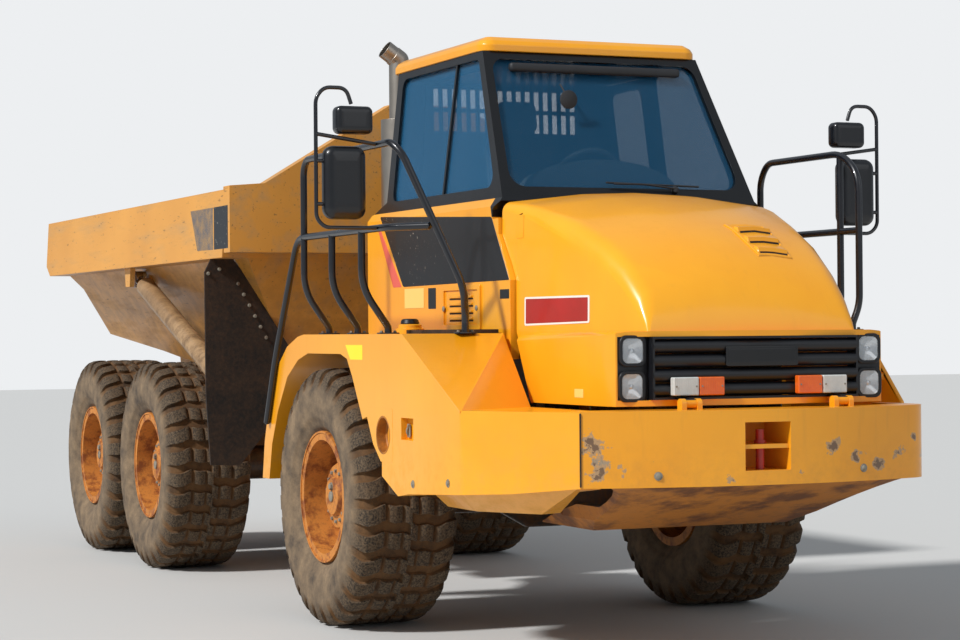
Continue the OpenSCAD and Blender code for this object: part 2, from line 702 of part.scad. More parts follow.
// Exhaust: a box silencer on the pin plate, a straight pipe and a bent open tip
exhaust_d = 130;
exhaust_wall = 6;
exhaust_at = [-560, 960];
exhaust_bend_z = rail_top + 2290;
exhaust_lean = 55;
exhaust_elbow = 50;
exhaust_tip = 70;
exhaust_tip_d = exhaust_d - 8;
module exhaust_stack() {
    x = exhaust_at[0];
    y = exhaust_at[1];
    color("silver") placed() difference() {
        union() {
            translate([x, y, rail_top + 400]) cylinder(h = 1500, d = 240);
            translate([x, y, rail_top + 1890]) cylinder(h = 400, d = exhaust_d);
            translate([x, y, exhaust_bend_z]) rotate([0, -exhaust_lean, 0]) {
                cylinder(h = exhaust_elbow, d = exhaust_d);
                cylinder(h = exhaust_elbow + exhaust_tip, d = exhaust_tip_d);
            }
            translate([x, y, exhaust_bend_z]) sphere(d = exhaust_d);
            block([-rail_x - 60, y - 60, rail_top + pin_plate_t + seat_gap],
                [-rail_x + 40, y + 60, rail_top + 420]);
            block([x - 60, y - 60, rail_top + 300], [-rail_x + 40, y + 60, rail_top + 420]);
        }
        translate([x, y, exhaust_bend_z]) rotate([0, -exhaust_lean, 0]) translate([0, 0, 20])
            cylinder(h = exhaust_elbow + exhaust_tip, d = exhaust_tip_d - 2 * exhaust_wall);
    }
}
module air_cleaner() {
    color("gray") placed() {
        translate([0, 960, rail_top + 400]) cylinder(h = 760, d = 300);
        block([-60, 900, rail_top + pin_plate_t + seat_gap], [60, 1020, rail_top + 410]);
    }
}
// Fuel tank between the left rail and the tyre
tank_gap = 12;
tank_low = 1130;
module fuel_tank() {
    inner = rail_x + rail_w / 2 + seat_gap;
    outer = min(wheel_x - tyre_w / 2, fender_in_x) - tank_gap;
    color("orange") placed() {
        block([rail_x + 60 + seat_gap, 200, tank_low], [outer, 780, cab_low - 20]);
        block([inner, 200, tank_low], [rail_x + 62, 780, rail_top - seat_gap]);
    }
}

// Handrails as [x, y, z] points: x is positive for the left side
rail_z_top = 2810;
rail_z_mid = 2340;
post_ys = [300, -200, -700];
post_foot = deck_z + seat_gap;
function post(y, top) =
    [[-1290, y, post_foot], [-1290, y, deck_z + 40], [-fender_x, y, 2010], [-fender_x, y, top]];
brace_x = fender_x + rail_tube_d / 2 + seat_gap;
left_foot_x = fender_x - 50;
module handrails() {
    front = deck_front + 35;
    color("black") placed() {
        // Right side: three posts, the top rail down to the front of the deck, and the middle rail
        tube(concat(post(post_ys[0], rail_z_top - 60), [[-fender_x, post_ys[0] - 60, rail_z_top],
            [-fender_x, front + 205, rail_z_top], [-fender_x + 40, front + 135, 2740],
            [-1130, front - 55, 2000], [-1100, front - 5, 1850], [-1100, front - 5, post_foot]]), rail_tube_d);
        for (i = [1, 2]) tube(post(post_ys[i], rail_z_mid), rail_tube_d);
        tube([[-brace_x, 990, 1180], [-brace_x, 800, 1600], [-fender_x, 420, rail_z_mid],
            [-fender_x, front + 285, rail_z_mid], [-1280, front + 55, rail_z_mid]], rail_tube_d);
        // Left side: a frame ahead of the door
        tube([[left_foot_x, -230, post_foot], [left_foot_x, -230, deck_z + 40], [fender_x, -230, 1900],
            [fender_x, -230, 2700], [fender_x, -320, rail_z_top], [fender_x, front + 185, rail_z_top],
            [fender_x, front, 2680], [fender_x, front, 1900], [left_foot_x, front, deck_z + 40],
            [left_foot_x, front, post_foot]], rail_tube_d);
        tube([[fender_x, -230, rail_z_mid], [fender_x, front, rail_z_mid]], rail_tube_d);
        tube([[left_foot_x, front + 205, post_foot], [left_foot_x, front + 205, deck_z + 40],
            [fender_x, front + 205, 1900], [fender_x, front + 205, rail_z_top]], rail_tube_d);
    }
}
// Mirrors: a thin tube frame that carries a tall and a small head on each side
mirror_y = -1000;
mirror_far = 1840;
mirror_foot = fender_x + rail_tube_d / 2 + 0.02;
module mirrors() {
    far = mirror_far - mirror_tube_d / 2;
    color("black") placed() both_sides() {
        tube([[mirror_foot, mirror_y, rail_z_mid], [far - 50, mirror_y, rail_z_mid],
            [far, mirror_y, rail_z_mid + 50], [far, mirror_y, 3060], [far - 50, mirror_y, 3120],
            [far - 180, mirror_y, 3120], [far - 210, mirror_y, 3030]], mirror_tube_d);
        tube([[mirror_foot, mirror_y, rail_z_top], [far, mirror_y, rail_z_top + 50]], mirror_tube_d);
        for (z = [2470, 2710]) bar_x(mirror_tube_d, 1780, far, mirror_y, z);
        mirror_head([1665, mirror_y, 2590], [250, 110, 410]);
        mirror_head([1640, mirror_y, 2960], [225, 100, 156]);
    }
}
module mirror_head(at, size) {
    translate(at) hull() for (x = [-1, 1], y = [-1, 1])
        translate([x * (size[0] / 2 - 36), y * (size[1] / 2 - 36), -size[2] / 2])
            cylinder(h = size[2], r = 36, $fn = 24);
}

// Hood, as stations from the windscreen to the nose: [share of its length, half width at the shoulder,
// shoulder height, crown, corner radius, how much wider it is at its foot]
hood_back = 1292;
hood_front = front_reach - 310;
hood_back_x = 828;
hood_back_z = 2482;
hood_stations = [[0, hood_back_x, hood_back_z, 62, 60, 8], [0.12, 806, 2466, 62, 75, 20],
    [0.23, 780, 2440, 62, 90, 28], [0.45, 728, 2350, 60, 110, 24], [0.66, 684, 2235, 62, 120, 14],
    [0.82, 652, 2100, 58, 120, 6], [0.926, 634, 1965, 45, 110, 0], [0.98, 624, 1840, 24, 70, 0],
    [1, 618, 1752, 10, 20, 0]];
hood_section_low = 1640;
// Top of the ledge that runs along the hood's sides to the lamps
ledge_z = 1750;
function hood_ring(s, t) = let (w = s[1] - t, z = s[2] - t, r = s[4],
        y = -hood_back - (hood_front - hood_back) * s[0] + (s[0] > 0.9 ? t : 0))
    [for (p = mirrored(concat([[w + s[5], hood_section_low]], arc(w - r, z - r, r, 0, 90, 6),
        [[w * 0.4, z + s[3] * 0.8], [0, z + s[3]]]))) [p[0], y, p[1]]];
module hood_upper(t) { skin([for (s = hood_stations) hood_ring(s, t)]); }
// Lower sides in plan, which bulge past the narrow nose to hold the lamps
function hood_plan(t) = mirrored([[0, -hood_back], [hood_back_x + 8 - t, -hood_back],
    [hood_back_x - 14 - t, nose(450)], [hood_back_x - 22 - t, nose(380) + t / 2],
    [hood_back_x - 34 - t, nose(332) + t], [grille_x + 40, nose(304) + t], [0, nose(250) + t]]);
module hood_sides(t) {
    w = hood_back_x + 12 - t;
    intersection() {
        upright(hood_plan(t), hood_low, ledge_z + 10);
        along(mirrored([[0, hood_low], [w, hood_low], [w, ledge_z - 84 - t], [w - 8, ledge_z - 46 - t],
            [w - 26, ledge_z - 20 - t], [w - 54, ledge_z - 6 - t], [w - 120, ledge_z - t],
            [0, ledge_z + 2 - t]]), nose(190), -hood_back + 90);
    }
}
module hood() {
    color("orange") placed() difference() {
        union() {
            hood_upper(0);
            hood_sides(0);
        }
        union() {
            hood_upper(hood_t);
            hood_sides(hood_t);
            block([-790 + hood_t, nose(550), hood_low - 1], [790 - hood_t, -hood_back + 10, 1700]);
            block([-600, nose(390), 1600], [600, -hood_back + 10, 1800]);
            along(hood_back_hole, -hood_back - 200, -hood_back + 10);
        }
        // Opening for the grille
        block([-grille_x, nose(150), grille_low], [grille_x, nose(450), grille_top]);
        // Lamp recesses
        both_sides() block([grille_x - 1, nose(250), lamp_panel_low], [lamp_x, nose(390), grille_top]);
        // Its sides stop short of the cab's cheeks
        both_sides() across([[-1000, 1300], [-cheek_y - 250, 1300], [-cheek_y - 20, ledge_z],
            [-cheek_y - panel_gap, 2040], [-1284 - panel_gap, 2300], [-1284 - panel_gap, 2310], [-1000, 2310]],
            hood_back_x - 60, hood_back_x + 40);
    }
}
hood_back_hole = mirrored([[0, hood_low - 1], [hood_back_x - hood_t, hood_low - 1],
    [hood_back_x - hood_t, hood_back_z - 80], [hood_back_x - 88, hood_back_z - hood_t],
    [0, hood_back_z + 38]]);
// Outer and lower edges of the lamp panels
lamp_x = 784;
lamp_panel_low = grille_low - 2;
// Grille: frame, four thick bars, lamp panels and the hinge bushes
grille_bars = 4;
grille_edge = 12;
grille_bar_pitch = (grille_top - grille_low - 2 * grille_edge) / grille_bars;
grille_bar_d = 68;
grille_y = nose(300);
module grille() {
    color("black") placed() {
        difference() {
            block([-grille_x + seat_gap, grille_y - 30, grille_low + seat_gap],
                [grille_x - seat_gap, grille_y + 40, grille_top - seat_gap]);
            block([-grille_x + grille_edge, grille_y - 50, grille_low + grille_edge],
                [grille_x - grille_edge, grille_y + 50, grille_top - grille_edge]);
        }
        for (i = [0 : grille_bars - 1])
            bar_x(grille_bar_d, -grille_x + 5, grille_x - 5, grille_y,
                grille_low + grille_edge + grille_bar_pitch * (i + 0.5));
        both_sides() block([grille_x - 2 * seat_gap, lamp_y, lamp_panel_low + seat_gap],
            [lamp_x - seat_gap, lamp_y + 45, grille_top - seat_gap]);
        both_sides() difference() {
            union() {
                bar_x(46, hood_ear_x - 30, hood_ear_x + 30, hood_hinge[0], hood_hinge[1]);
                across([[hood_hinge[0], bumper_top + 10], [nose(250), bumper_top + 32],
                    [nose(283), grille_low + 1], [nose(283), grille_low + 11], [nose(250), grille_low + 11],
                    [nose(160), bumper_top + 44]], hood_ear_x - 30, hood_ear_x + 30);
            }
            bar_x(24 + 2 * seat_gap, hood_ear_x - 40, hood_ear_x + 40, hood_hinge[0], hood_hinge[1]);
        }
    }
}
// Headlamps with flattened sides: [x, z] of each centre, and the face that carries them
lamp_places = [[706, 1650], [710, 1468]];
lamp_y = nose(330);
lamp_w = 112;
lamp_h = 126;
module headlamps() {
    color("white") placed() both_sides() for (p = lamp_places)
        translate([p[0], lamp_y - seat_gap, p[1]]) rotate([90, 0, 0]) intersection() {
            cylinder(h = 26, d = 148);
            translate([-lamp_w / 2, -lamp_h / 2, 0]) cube([lamp_w, lamp_h, 30]);
        }
}
// Amber and clear indicators on the grille's bars: inner and outer edge of each
indicator_xs = [[219, 366], [369, 516]];
module indicators() {
    face = grille_y - grille_bar_d / 2 - seat_gap;
    color("darkorange") placed() both_sides() for (x = indicator_xs)
        block([x[0], face - 41, grille_low + 21], [x[1], face, grille_low + 116]);
}

// Hitch: a block on the steering pins, arms for the steering cylinders, and the oscillation tube
yoke_low = rail_z + 6;
yoke_high = rail_top - 6;
osc_front = 1850;
osc_back = 2250;
module hitch_yoke() {
    color("dimgray") placed() {
        translate([0, hitch_back, yoke_low]) cylinder(h = yoke_high - yoke_low, r = 190);
        translate([0, hitch_back, rail_z - pin_plate_t - 10])
            cylinder(h = rail_h + 2 * pin_plate_t + 20, d = hitch_pin_d);
        // The tube, its collar ahead of the rear frame and its nut behind
        for (p = [[hitch_back, osc_back + 60, osc_tube_d],
                [osc_front - 50, osc_front - seat_gap, osc_tube_d + 70],
                [osc_back + seat_gap, osc_back + 40, osc_tube_d + 60]])
            translate([0, p[0], hitch_z]) rotate([-90, 0, 0]) cylinder(h = p[1] - p[0], d = p[2]);
        // Arms that the steering rods push on
        for (s = [-1, 1]) translate([0, 0, hitch_z + s * (steer_eye_t / 2 + 6 + steer_ear_t / 2)])
            linear_extrude(steer_ear_t, center = true)
                polygon([[-steer_eye[0] - 60, steer_eye[1] - 40], [0, hitch_back - 120],
                    [steer_eye[0] + 60, steer_eye[1] - 40], [steer_eye[0] + 40, steer_eye[1] + 50],
                    [0, osc_front - 60], [-steer_eye[0] - 40, steer_eye[1] + 50]]);
    }
}

// Steering cylinders, drawn on the left and mirrored: [length at rest, turn from +Y]
steer_run = steer_eye - steer_base;
steer_len = norm(steer_run);
steer_turn = atan2(-steer_run[0], steer_run[1]);
steer_barrel_end = 898;
module on_steer_line(side) {
    placed() mirror([side < 0 ? 1 : 0, 0, 0]) translate([steer_base[0], steer_base[1], steer_z])
        rotate([0, 0, steer_turn]) rotate([-90, 0, 0]) children();
}
// An eye across the cylinder's line, its own axis along the local Y
module eye(z, d, t, hole) {
    translate([0, 0, z]) rotate([90, 0, 0]) difference() {
        cylinder(h = t, d = d, center = true);
        cylinder(h = t + 2, d = hole, center = true);
    }
}
module steer_barrel(side) {
    color("dimgray") on_steer_line(side) {
        eye(0, 110, steer_eye_t, 50);
        difference() {
            translate([0, 0, 75]) cylinder(h = steer_barrel_end - 75, d = steer_d);
            translate([0, 0, 130]) cylinder(h = steer_barrel_end, d = steer_rod_d + 2 * seat_gap);
        }
        difference() {
            cylinder(h = 80, d = steer_eye_t - 4);
            rotate([90, 0, 0]) cylinder(h = steer_eye_t, d = 49, center = true);
        }
        rotate([90, 0, 0]) cylinder(h = steer_eye_t + 2 * steer_ear_t + 20, d = 50, center = true);
    }
}
module steer_rod(side) {
    color("silver") on_steer_line(side) {
        translate([0, 0, 432]) cylinder(h = steer_len - 432 - 40, d = steer_rod_d);
        translate([0, 0, steer_len]) rotate([90, 0, 0]) cylinder(h = steer_eye_t, d = 100, center = true);
    }
}

// Rear frame: rails, the bearing for the oscillation tube, outriggers and the body's pivot
hoist_x = 1300;
hoist_base = [2450, 1420];
hoist_eye = [4660, 2185];
// Inner and outer faces of the rear frame's rails
chassis_in_x = rail_x - rail_w / 2 + 20;
chassis_out_x = rail_x + rail_w / 2 + 20;
module rear_frame() {
    color("orange") placed() {
        difference() {
            union() {
                both_sides() {
                    block([chassis_in_x, osc_front, chassis_z], [chassis_out_x, pivot_back - 200, chassis_top]);
                    across([[pivot_back - 260, chassis_z + 60], [pivot_back, pivot_z - 100],
                        [pivot_back + 80, pivot_z - 40], [pivot_back + 80, pivot_z + 40],
                        [pivot_back, pivot_z + 100], [pivot_back - 260, chassis_top]],
                        chassis_in_x, chassis_out_x);
                }
                block([-rail_x, osc_front, hitch_z - 220], [rail_x, osc_back, hitch_z + 230]);
                for (y = [2900, rear_y + 250])
                    block([-rail_x, y - 70, chassis_z + 60], [rail_x, y + 70, chassis_top - 40]);
                // Outriggers for the hoist cylinders
                both_sides() {
                    block([rail_x, hoist_base[0] - 60, 1180], [hoist_x - 80, hoist_base[0] + 60, 1330]);
                    for (x = [hoist_x - 80, hoist_x + 44]) hoist_ear(x);
                    block([hoist_x - 81, hoist_base[0] - 60, 1230], [hoist_x + 80, hoist_base[0] + 60, 1300]);
                }
            }
            translate([0, osc_front - 1, hitch_z]) rotate([-90, 0, 0])
                cylinder(h = osc_back - osc_front + 2, d = osc_tube_d + 2 * seat_gap);
            bar_x(pivot_pin_d + 2 * seat_gap, -1000, 1000, pivot_back, pivot_z);
        }
    }
}
module hoist_ear(x) {
    difference() {
        across([[hoist_base[0] - 80, 1230], [hoist_base[0] + 80, 1230],
            [hoist_base[0] + 60, hoist_base[1] + 60], [hoist_base[0] - 60, hoist_base[1] + 60]], x, x + 36);
        bar_x(60 + 2 * seat_gap, x - 1, x + 40, hoist_base[0], hoist_base[1]);
    }
}
// Walking beams between the two rear axles, carried on the cross shaft
beam_x = 560;
bogie_y = (mid_y + rear_y) / 2;
saddle_z = axle_z + axle_d / 2 + seat_gap;
module bogie_beams() {
    color("dimgray") placed() {
        both_sides() across([[mid_y - 110, saddle_z], [mid_y + 110, saddle_z], [bogie_y - 260, axle_z + 80],
            [bogie_y + 260, axle_z + 80], [rear_y - 110, saddle_z], [rear_y + 110, saddle_z],
            [rear_y + 90, axle_z + 220], [bogie_y, axle_z + 330], [mid_y - 90, axle_z + 220]],
            beam_x, beam_x + 110);
        both_sides() bar_x(130, chassis_out_x + seat_gap, beam_x + 10, bogie_y, axle_z + 240);
    }
}
module bogie_axles() {
    color("dimgray") placed() for (y = [mid_y, rear_y]) {
        bar_x(axle_d, -(wheel_x - hub_back - seat_gap), wheel_x - hub_back - seat_gap, y, axle_z);
        differential(y);
    }
}

// Dump body: floor line as [y, z], rising to the tail
floor_line = [[2620, 1425], [4950, 1530], [5600, 1615], [6990, 1760]];
function floor_at(y) = lookup(y, floor_line);
// Outside of the sloping side plate at a height
chine_foot = [floor_x - 60, 1300];
chine_head = [1270, band_low];
function chine_x(z) = chine_foot[0]
    + (chine_head[0] - chine_foot[0]) * (z - chine_foot[1]) / (chine_head[1] - chine_foot[1]);
function tub_section(t) = let (w = body_x - (t > 0 ? band_t : 0))
    mirrored([[0, 1300], [chine_foot[0] - t, 1300], [chine_head[0] - t, band_low],
        [w, band_low + (t > 0 ? 60 : 0)], [w, body_top], [0, body_top]]);
function tub_side(t) = concat([[body_front + 60 + t, 2800], [body_front + 180 + t, band_low]],
    [for (p = floor_line) [p[0] + (p[0] < 3000 ? t : 0), p[1] + t]],
    t > 0 ? [[tail_back + 200, floor_at(6990) + 45 + t], [tail_back + 200, 2800]]
        : [[tail_back - 300, 2151], [tail_back, 2355], [tail_back - 90, body_top], [tail_back - 90, 2800]]);
module tub(t) {
    intersection() {
        along(tub_section(t), body_front - 100, tail_back + 300);
        across(tub_side(t), -body_x - 10, body_x + 10);
    }
}
module dump_body() {
    color("goldenrod") placed() {
        difference() {
            tub(0);
            tub(plate_t);
            block([-body_x + band_t, body_front + 200, band_low + 60],
                [body_x - band_t, tail_back + 300, 2900]);
        }
        // Front wall that rises to the middle
        along(mirrored([[0, 2300], [body_x, 2300], [body_x, body_top + 20], [1200, body_top + 40],
            [280, wall_top], [0, wall_top]]), body_front, body_front + 140);
        // Ears on the pivot and on the hoist rods
        both_sides() body_ear();
        both_sides() for (x = [hoist_x - 100, hoist_x + 60])
            across([[hoist_eye[0] - 90, band_low + 10], [hoist_eye[0] - 60, hoist_eye[1] - 60],
                [hoist_eye[0] + 60, hoist_eye[1] - 60], [hoist_eye[0] + 90, band_low + 10]], x, x + 40);
        // Pads that rest on the frame rails
        both_sides() block([chassis_in_x, 2720, chassis_top + seat_gap], [chassis_out_x, 2820, 1450]);
    }
}
module body_ear() {
    x0 = chassis_out_x + 6;
    across(concat([[pivot_back - 200, floor_at(pivot_back - 200) + plate_t / 2]],
        arc(pivot_back, pivot_z, 75, 180, 360, 10),
        [[pivot_back + 200, floor_at(pivot_back + 200) + plate_t / 2]]), x0, x0 + 60);
    bar_x(pivot_pin_d, rail_x - 30, x0 + 10, pivot_back, pivot_z);
}
// Rubber flaps that hang in front of the middle wheels
flap_y = 2290;
module mud_flaps() {
    color("black") placed() both_sides()
        along([[1240, 840], [1450, 850], [1480, 1330], [1485, 2180], [1440, band_low - seat_gap],
            [chine_head[0] + 8, band_low - seat_gap], [chine_x(2200) + 1, 2200], [chine_x(1600) + 1, 1600],
            [900, 1250]], flap_y, flap_y + 18);
}

// Hoist cylinders, drawn in the plane x = hoist_x
hoist_run = hoist_eye - hoist_base;
hoist_len = norm(hoist_run);
hoist_rise = atan2(hoist_run[1], hoist_run[0]);
module on_hoist_line(side) {
    placed() translate([side * hoist_x, hoist_base[0], hoist_base[1]])
        rotate([hoist_rise - 90, 0, 0]) children();
}
module hoist_barrel(side) {
    color("goldenrod") on_hoist_line(side) {
        rotate([0, 90, 0]) cylinder(h = 84, d = 130, center = true);
        rotate([0, 90, 0]) cylinder(h = 176, d = 60, center = true);
        difference() {
            union() {
                cylinder(h = 110, d = 80);
                translate([0, 0, 105]) cylinder(h = hoist_len - 105 - 190, d = hoist_d);
            }
            translate([0, 0, 120]) cylinder(h = hoist_len, d = hoist_rod_d + 2 * seat_gap);
        }
    }
}
module hoist_rod(side) {
    color("silver") on_hoist_line(side) {
        translate([0, 0, 140]) cylinder(h = hoist_len - 180, d = hoist_rod_d);
        translate([0, 0, hoist_len]) rotate([0, 90, 0]) cylinder(h = 84, d = 130, center = true);
    }
}

front_frame();
front_axle();
engine_block();
belly_guard();
bumper();
tow_pin();
fender_right();
fender_left();
cab_lower();
cab_frame();
cab_roof();
cab_glass();
seat();
console();
rear_screen();
exhaust_stack();
air_cleaner();
fuel_tank();
handrails();
mirrors();
cab_door();
door_glass();
hood();
grille();
headlamps();
indicators();
hitch_yoke();
rear_frame();
bogie_beams();
bogie_axles();
dump_body();
mud_flaps();
hoist_barrel(-1);  // hoist_barrel_right
hoist_barrel(1);  // hoist_barrel_left
hoist_rod(-1);  // hoist_rod_right
hoist_rod(1);  // hoist_rod_left
steer_barrel(-1);  // steer_barrel_right
steer_barrel(1);  // steer_barrel_left
steer_rod(-1);  // steer_rod_right
steer_rod(1);  // steer_rod_left
tyre(0, -1);  // tyre_front_right
tyre(0, 1);  // tyre_front_left
tyre(mid_y, -1);  // tyre_mid_right
tyre(mid_y, 1);  // tyre_mid_left
tyre(rear_y, -1);  // tyre_rear_right
tyre(rear_y, 1);  // tyre_rear_left
rim(0, -1);  // rim_front_right
rim(0, 1);  // rim_front_left
rim(mid_y, -1);  // rim_mid_right
rim(mid_y, 1);  // rim_mid_left
rim(rear_y, -1);  // rim_rear_right
rim(rear_y, 1);  // rim_rear_left
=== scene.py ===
# %% [markdown]
# # An articulated dump truck, dressed for a studio picture
# The solids of the truck come in as a fixed frame. Each cell gives them a finish, or sets a finer
# surface in a solid's place. Sizes are in metres, the front is -Y, the truck's left is +X, and
# the ground is at z = 0.

# %% Load the frame
import json
import math

import bmesh
import bpy
import numpy as np
from mathutils import Matrix, Vector

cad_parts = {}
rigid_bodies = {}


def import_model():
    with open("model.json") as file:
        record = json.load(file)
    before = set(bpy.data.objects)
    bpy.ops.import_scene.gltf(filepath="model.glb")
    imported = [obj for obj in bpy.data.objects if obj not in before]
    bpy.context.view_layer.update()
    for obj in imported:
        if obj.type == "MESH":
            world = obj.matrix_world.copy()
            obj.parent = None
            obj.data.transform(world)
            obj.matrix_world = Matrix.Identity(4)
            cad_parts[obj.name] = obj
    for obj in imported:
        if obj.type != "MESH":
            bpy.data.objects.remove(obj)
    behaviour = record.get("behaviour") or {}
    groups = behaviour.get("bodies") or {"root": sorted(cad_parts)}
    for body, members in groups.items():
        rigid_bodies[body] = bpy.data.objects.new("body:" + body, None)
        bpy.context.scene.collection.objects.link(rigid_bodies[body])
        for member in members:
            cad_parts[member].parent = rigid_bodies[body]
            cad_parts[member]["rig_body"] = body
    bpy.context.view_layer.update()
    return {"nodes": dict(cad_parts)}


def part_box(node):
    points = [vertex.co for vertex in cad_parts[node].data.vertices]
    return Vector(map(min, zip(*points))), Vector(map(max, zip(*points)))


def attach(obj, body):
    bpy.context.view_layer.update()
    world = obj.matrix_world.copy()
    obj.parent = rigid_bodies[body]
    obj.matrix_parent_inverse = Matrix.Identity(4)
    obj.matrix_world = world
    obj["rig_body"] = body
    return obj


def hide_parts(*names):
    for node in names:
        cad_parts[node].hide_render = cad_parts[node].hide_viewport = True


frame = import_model()
nodes = frame["nodes"]
scene = bpy.context.scene


def place(name, data):
    """A new object in the scene."""
    made = bpy.data.objects.new(name, data)
    scene.collection.objects.link(made)
    return made


print("frame loaded:", len(nodes), "nodes")

# %% [markdown]
# ## The camera
# A long lens from well ahead of the truck, at the height of a standing person. Its place, its
# turn and its slight roll were solved from the wheels, the lamps and the cab's corners.

# %% Camera
camera_at = Vector((-6.177, -15.477, 1.753))
azimuth, elevation, roll = (math.radians(a) for a in (-23.37, -.29, -.44))
forward = Vector((-math.sin(azimuth) * math.cos(elevation),
                  math.cos(azimuth) * math.cos(elevation), -math.sin(elevation)))
right = forward.cross(Vector((0, 0, 1))).normalized()
up = right.cross(forward)
right_rolled = math.cos(roll) * right + math.sin(roll) * up
up_rolled = math.cos(roll) * up - math.sin(roll) * right
camera_data = bpy.data.cameras.new("camera")
camera_data.lens = 88.28
camera_data.sensor_width = 36
camera_data.clip_end = 200
camera = place("camera", camera_data)
camera.matrix_world = Matrix.Translation(camera_at) @ Matrix(
    (right_rolled, up_rolled, -forward)).transposed().to_4x4()
scene.camera = camera
print("camera at", tuple(round(c, 3) for c in camera_at), "lens", camera_data.lens)

# %% [markdown]
# ## Finishes
# Every material is built from nodes. A Finish holds the material that is being built and adds
# nodes to it. Colours are hex codes, turned to Blender's linear numbers where they are used.


# %% Helpers for materials
def linear(code):
    """sRGB hex to linear: c / 12.92 below 0.04045, otherwise ((c + 0.055) / 1.055) ** 2.4."""
    channels = [int(code[i:i + 2], 16) / 255 for i in (1, 3, 5)]
    return tuple(c / 12.92 if c <= .04045 else ((c + .055) / 1.055) ** 2.4
                 for c in channels) + (1.0,)


class Finish:
    """A named material: its tree, its shader node and the object's own coordinates."""

    def __init__(self, name, colour, roughness, metallic=0.0, **sockets):
        self.made = bpy.data.materials.new(name)
        self.made.use_nodes = True
        self.made.diffuse_color = linear(colour)
        self.tree = self.made.node_tree
        self.shader = self.tree.nodes["Principled BSDF"]
        self.where = self.tree.nodes.new("ShaderNodeTexCoord").outputs["Object"]
        self.set(Base_Color=colour, Roughness=roughness, Metallic=metallic, **sockets)

    def join(self, target, value):
        """Gives an input a link, a number or the colour of a hex code."""
        if isinstance(value, bpy.types.NodeSocket):
            self.tree.links.new(value, target)
        else:
            target.default_value = linear(value) if isinstance(value, str) else value

    def set(self, **sockets):
        """Gives the shader's inputs their values or links."""
        for key, value in sockets.items():
            self.join(self.shader.inputs[key.replace("_", " ")], value)

    def add(self, kind, settings=(), **links):
        """A node of that kind; settings are (name, value) pairs, links go to its inputs by name,
        or by number as i0 and i1."""
        node = self.tree.nodes.new(kind)
        for name, value in settings:
            if hasattr(node, name):
                setattr(node, name, value)
            else:
                node.inputs[name].default_value = value
        for name, value in links.items():
            self.join(node.inputs[int(name[1]) if name in ("i0", "i1") else name], value)
        return node

    def math(self, operation, first, second):
        """One number from two, by the named operation."""
        node = self.add("ShaderNodeMath", [("operation", operation)], i0=first, i1=second)
        return node.outputs[0]

    def vector(self, operation, first, second):
        """A node for two vectors, by the named operation."""
        settings = [("operation", operation)]
        return self.add("ShaderNodeVectorMath", settings, i0=first, i1=second)

    def times(self, first, second):
        """The product of two numbers."""
        return self.math("MULTIPLY", first, second)

    def part(self, axis):
        """X, Y or Z of the object's own coordinates, in metres."""
        return self.add("ShaderNodeSeparateXYZ", Vector=self.where).outputs[axis]

    def stretched(self, scale):
        """The object's coordinates, scaled along each axis."""
        return self.add("ShaderNodeMapping", [("Scale", scale)], Vector=self.where).outputs[0]

    def noise(self, size, detail=6.0, rough=.6, where=None):
        """Noise whose blotches are about `size` metres across."""
        settings = [("Scale", 1.0 / size), ("Detail", detail), ("Roughness", rough)]
        return self.add("ShaderNodeTexNoise", settings, Vector=where or self.where).outputs["Fac"]

    def wave(self, scale, distortion, axis):
        """Sine bands across an axis."""
        settings = [("Scale", scale), ("Distortion", distortion), ("bands_direction", axis)]
        return self.add("ShaderNodeTexWave", settings, Vector=self.where).outputs["Fac"]

    def ramp(self, source, low, high, out_low=0.0, out_high=1.0):
        """source from low to high becomes out_low to out_high, held at both ends."""
        settings = [("From Min", low), ("From Max", high), ("To Min", out_low),
                    ("To Max", out_high)]
        return self.add("ShaderNodeMapRange", settings, Value=source).outputs["Result"]

    def blend(self, factor, first, second):
        """A mix of two colours."""
        node = self.add("ShaderNodeMix", [("data_type", "RGBA")])
        sockets = {s.identifier: s for s in node.inputs}
        for key, value in (("Factor_Float", factor), ("A_Color", first), ("B_Color", second)):
            self.join(sockets[key], value)
        return next(s for s in node.outputs if s.identifier == "Result_Color")

    def bump(self, height, strength, distance):
        """Bump from a height, in metres of relief. It comes last, and returns the material."""
        settings = [("Strength", strength), ("Distance", distance)]
        self.set(Normal=self.add("ShaderNodeBump", settings, Height=height).outputs["Normal"])
        return self.made

    def edge_wear(self, radius=.012):
        """1 near convex edges, from the angle between the rounded and the true normal."""
        rounded = self.add("ShaderNodeBevel", [("samples", 4), ("Radius", radius)]).outputs[0]
        true = self.add("ShaderNodeNewGeometry").outputs["True Normal"]
        dot = self.vector("DOT_PRODUCT", rounded, true).outputs["Value"]
        return self.ramp(dot, .97, .80)


# %% [markdown]
# The tractor's sheet steel wears a glossy orange-yellow enamel, sprayed and baked. Dust lies
# low on it, rain has left faint runs, and edges are rubbed dull.


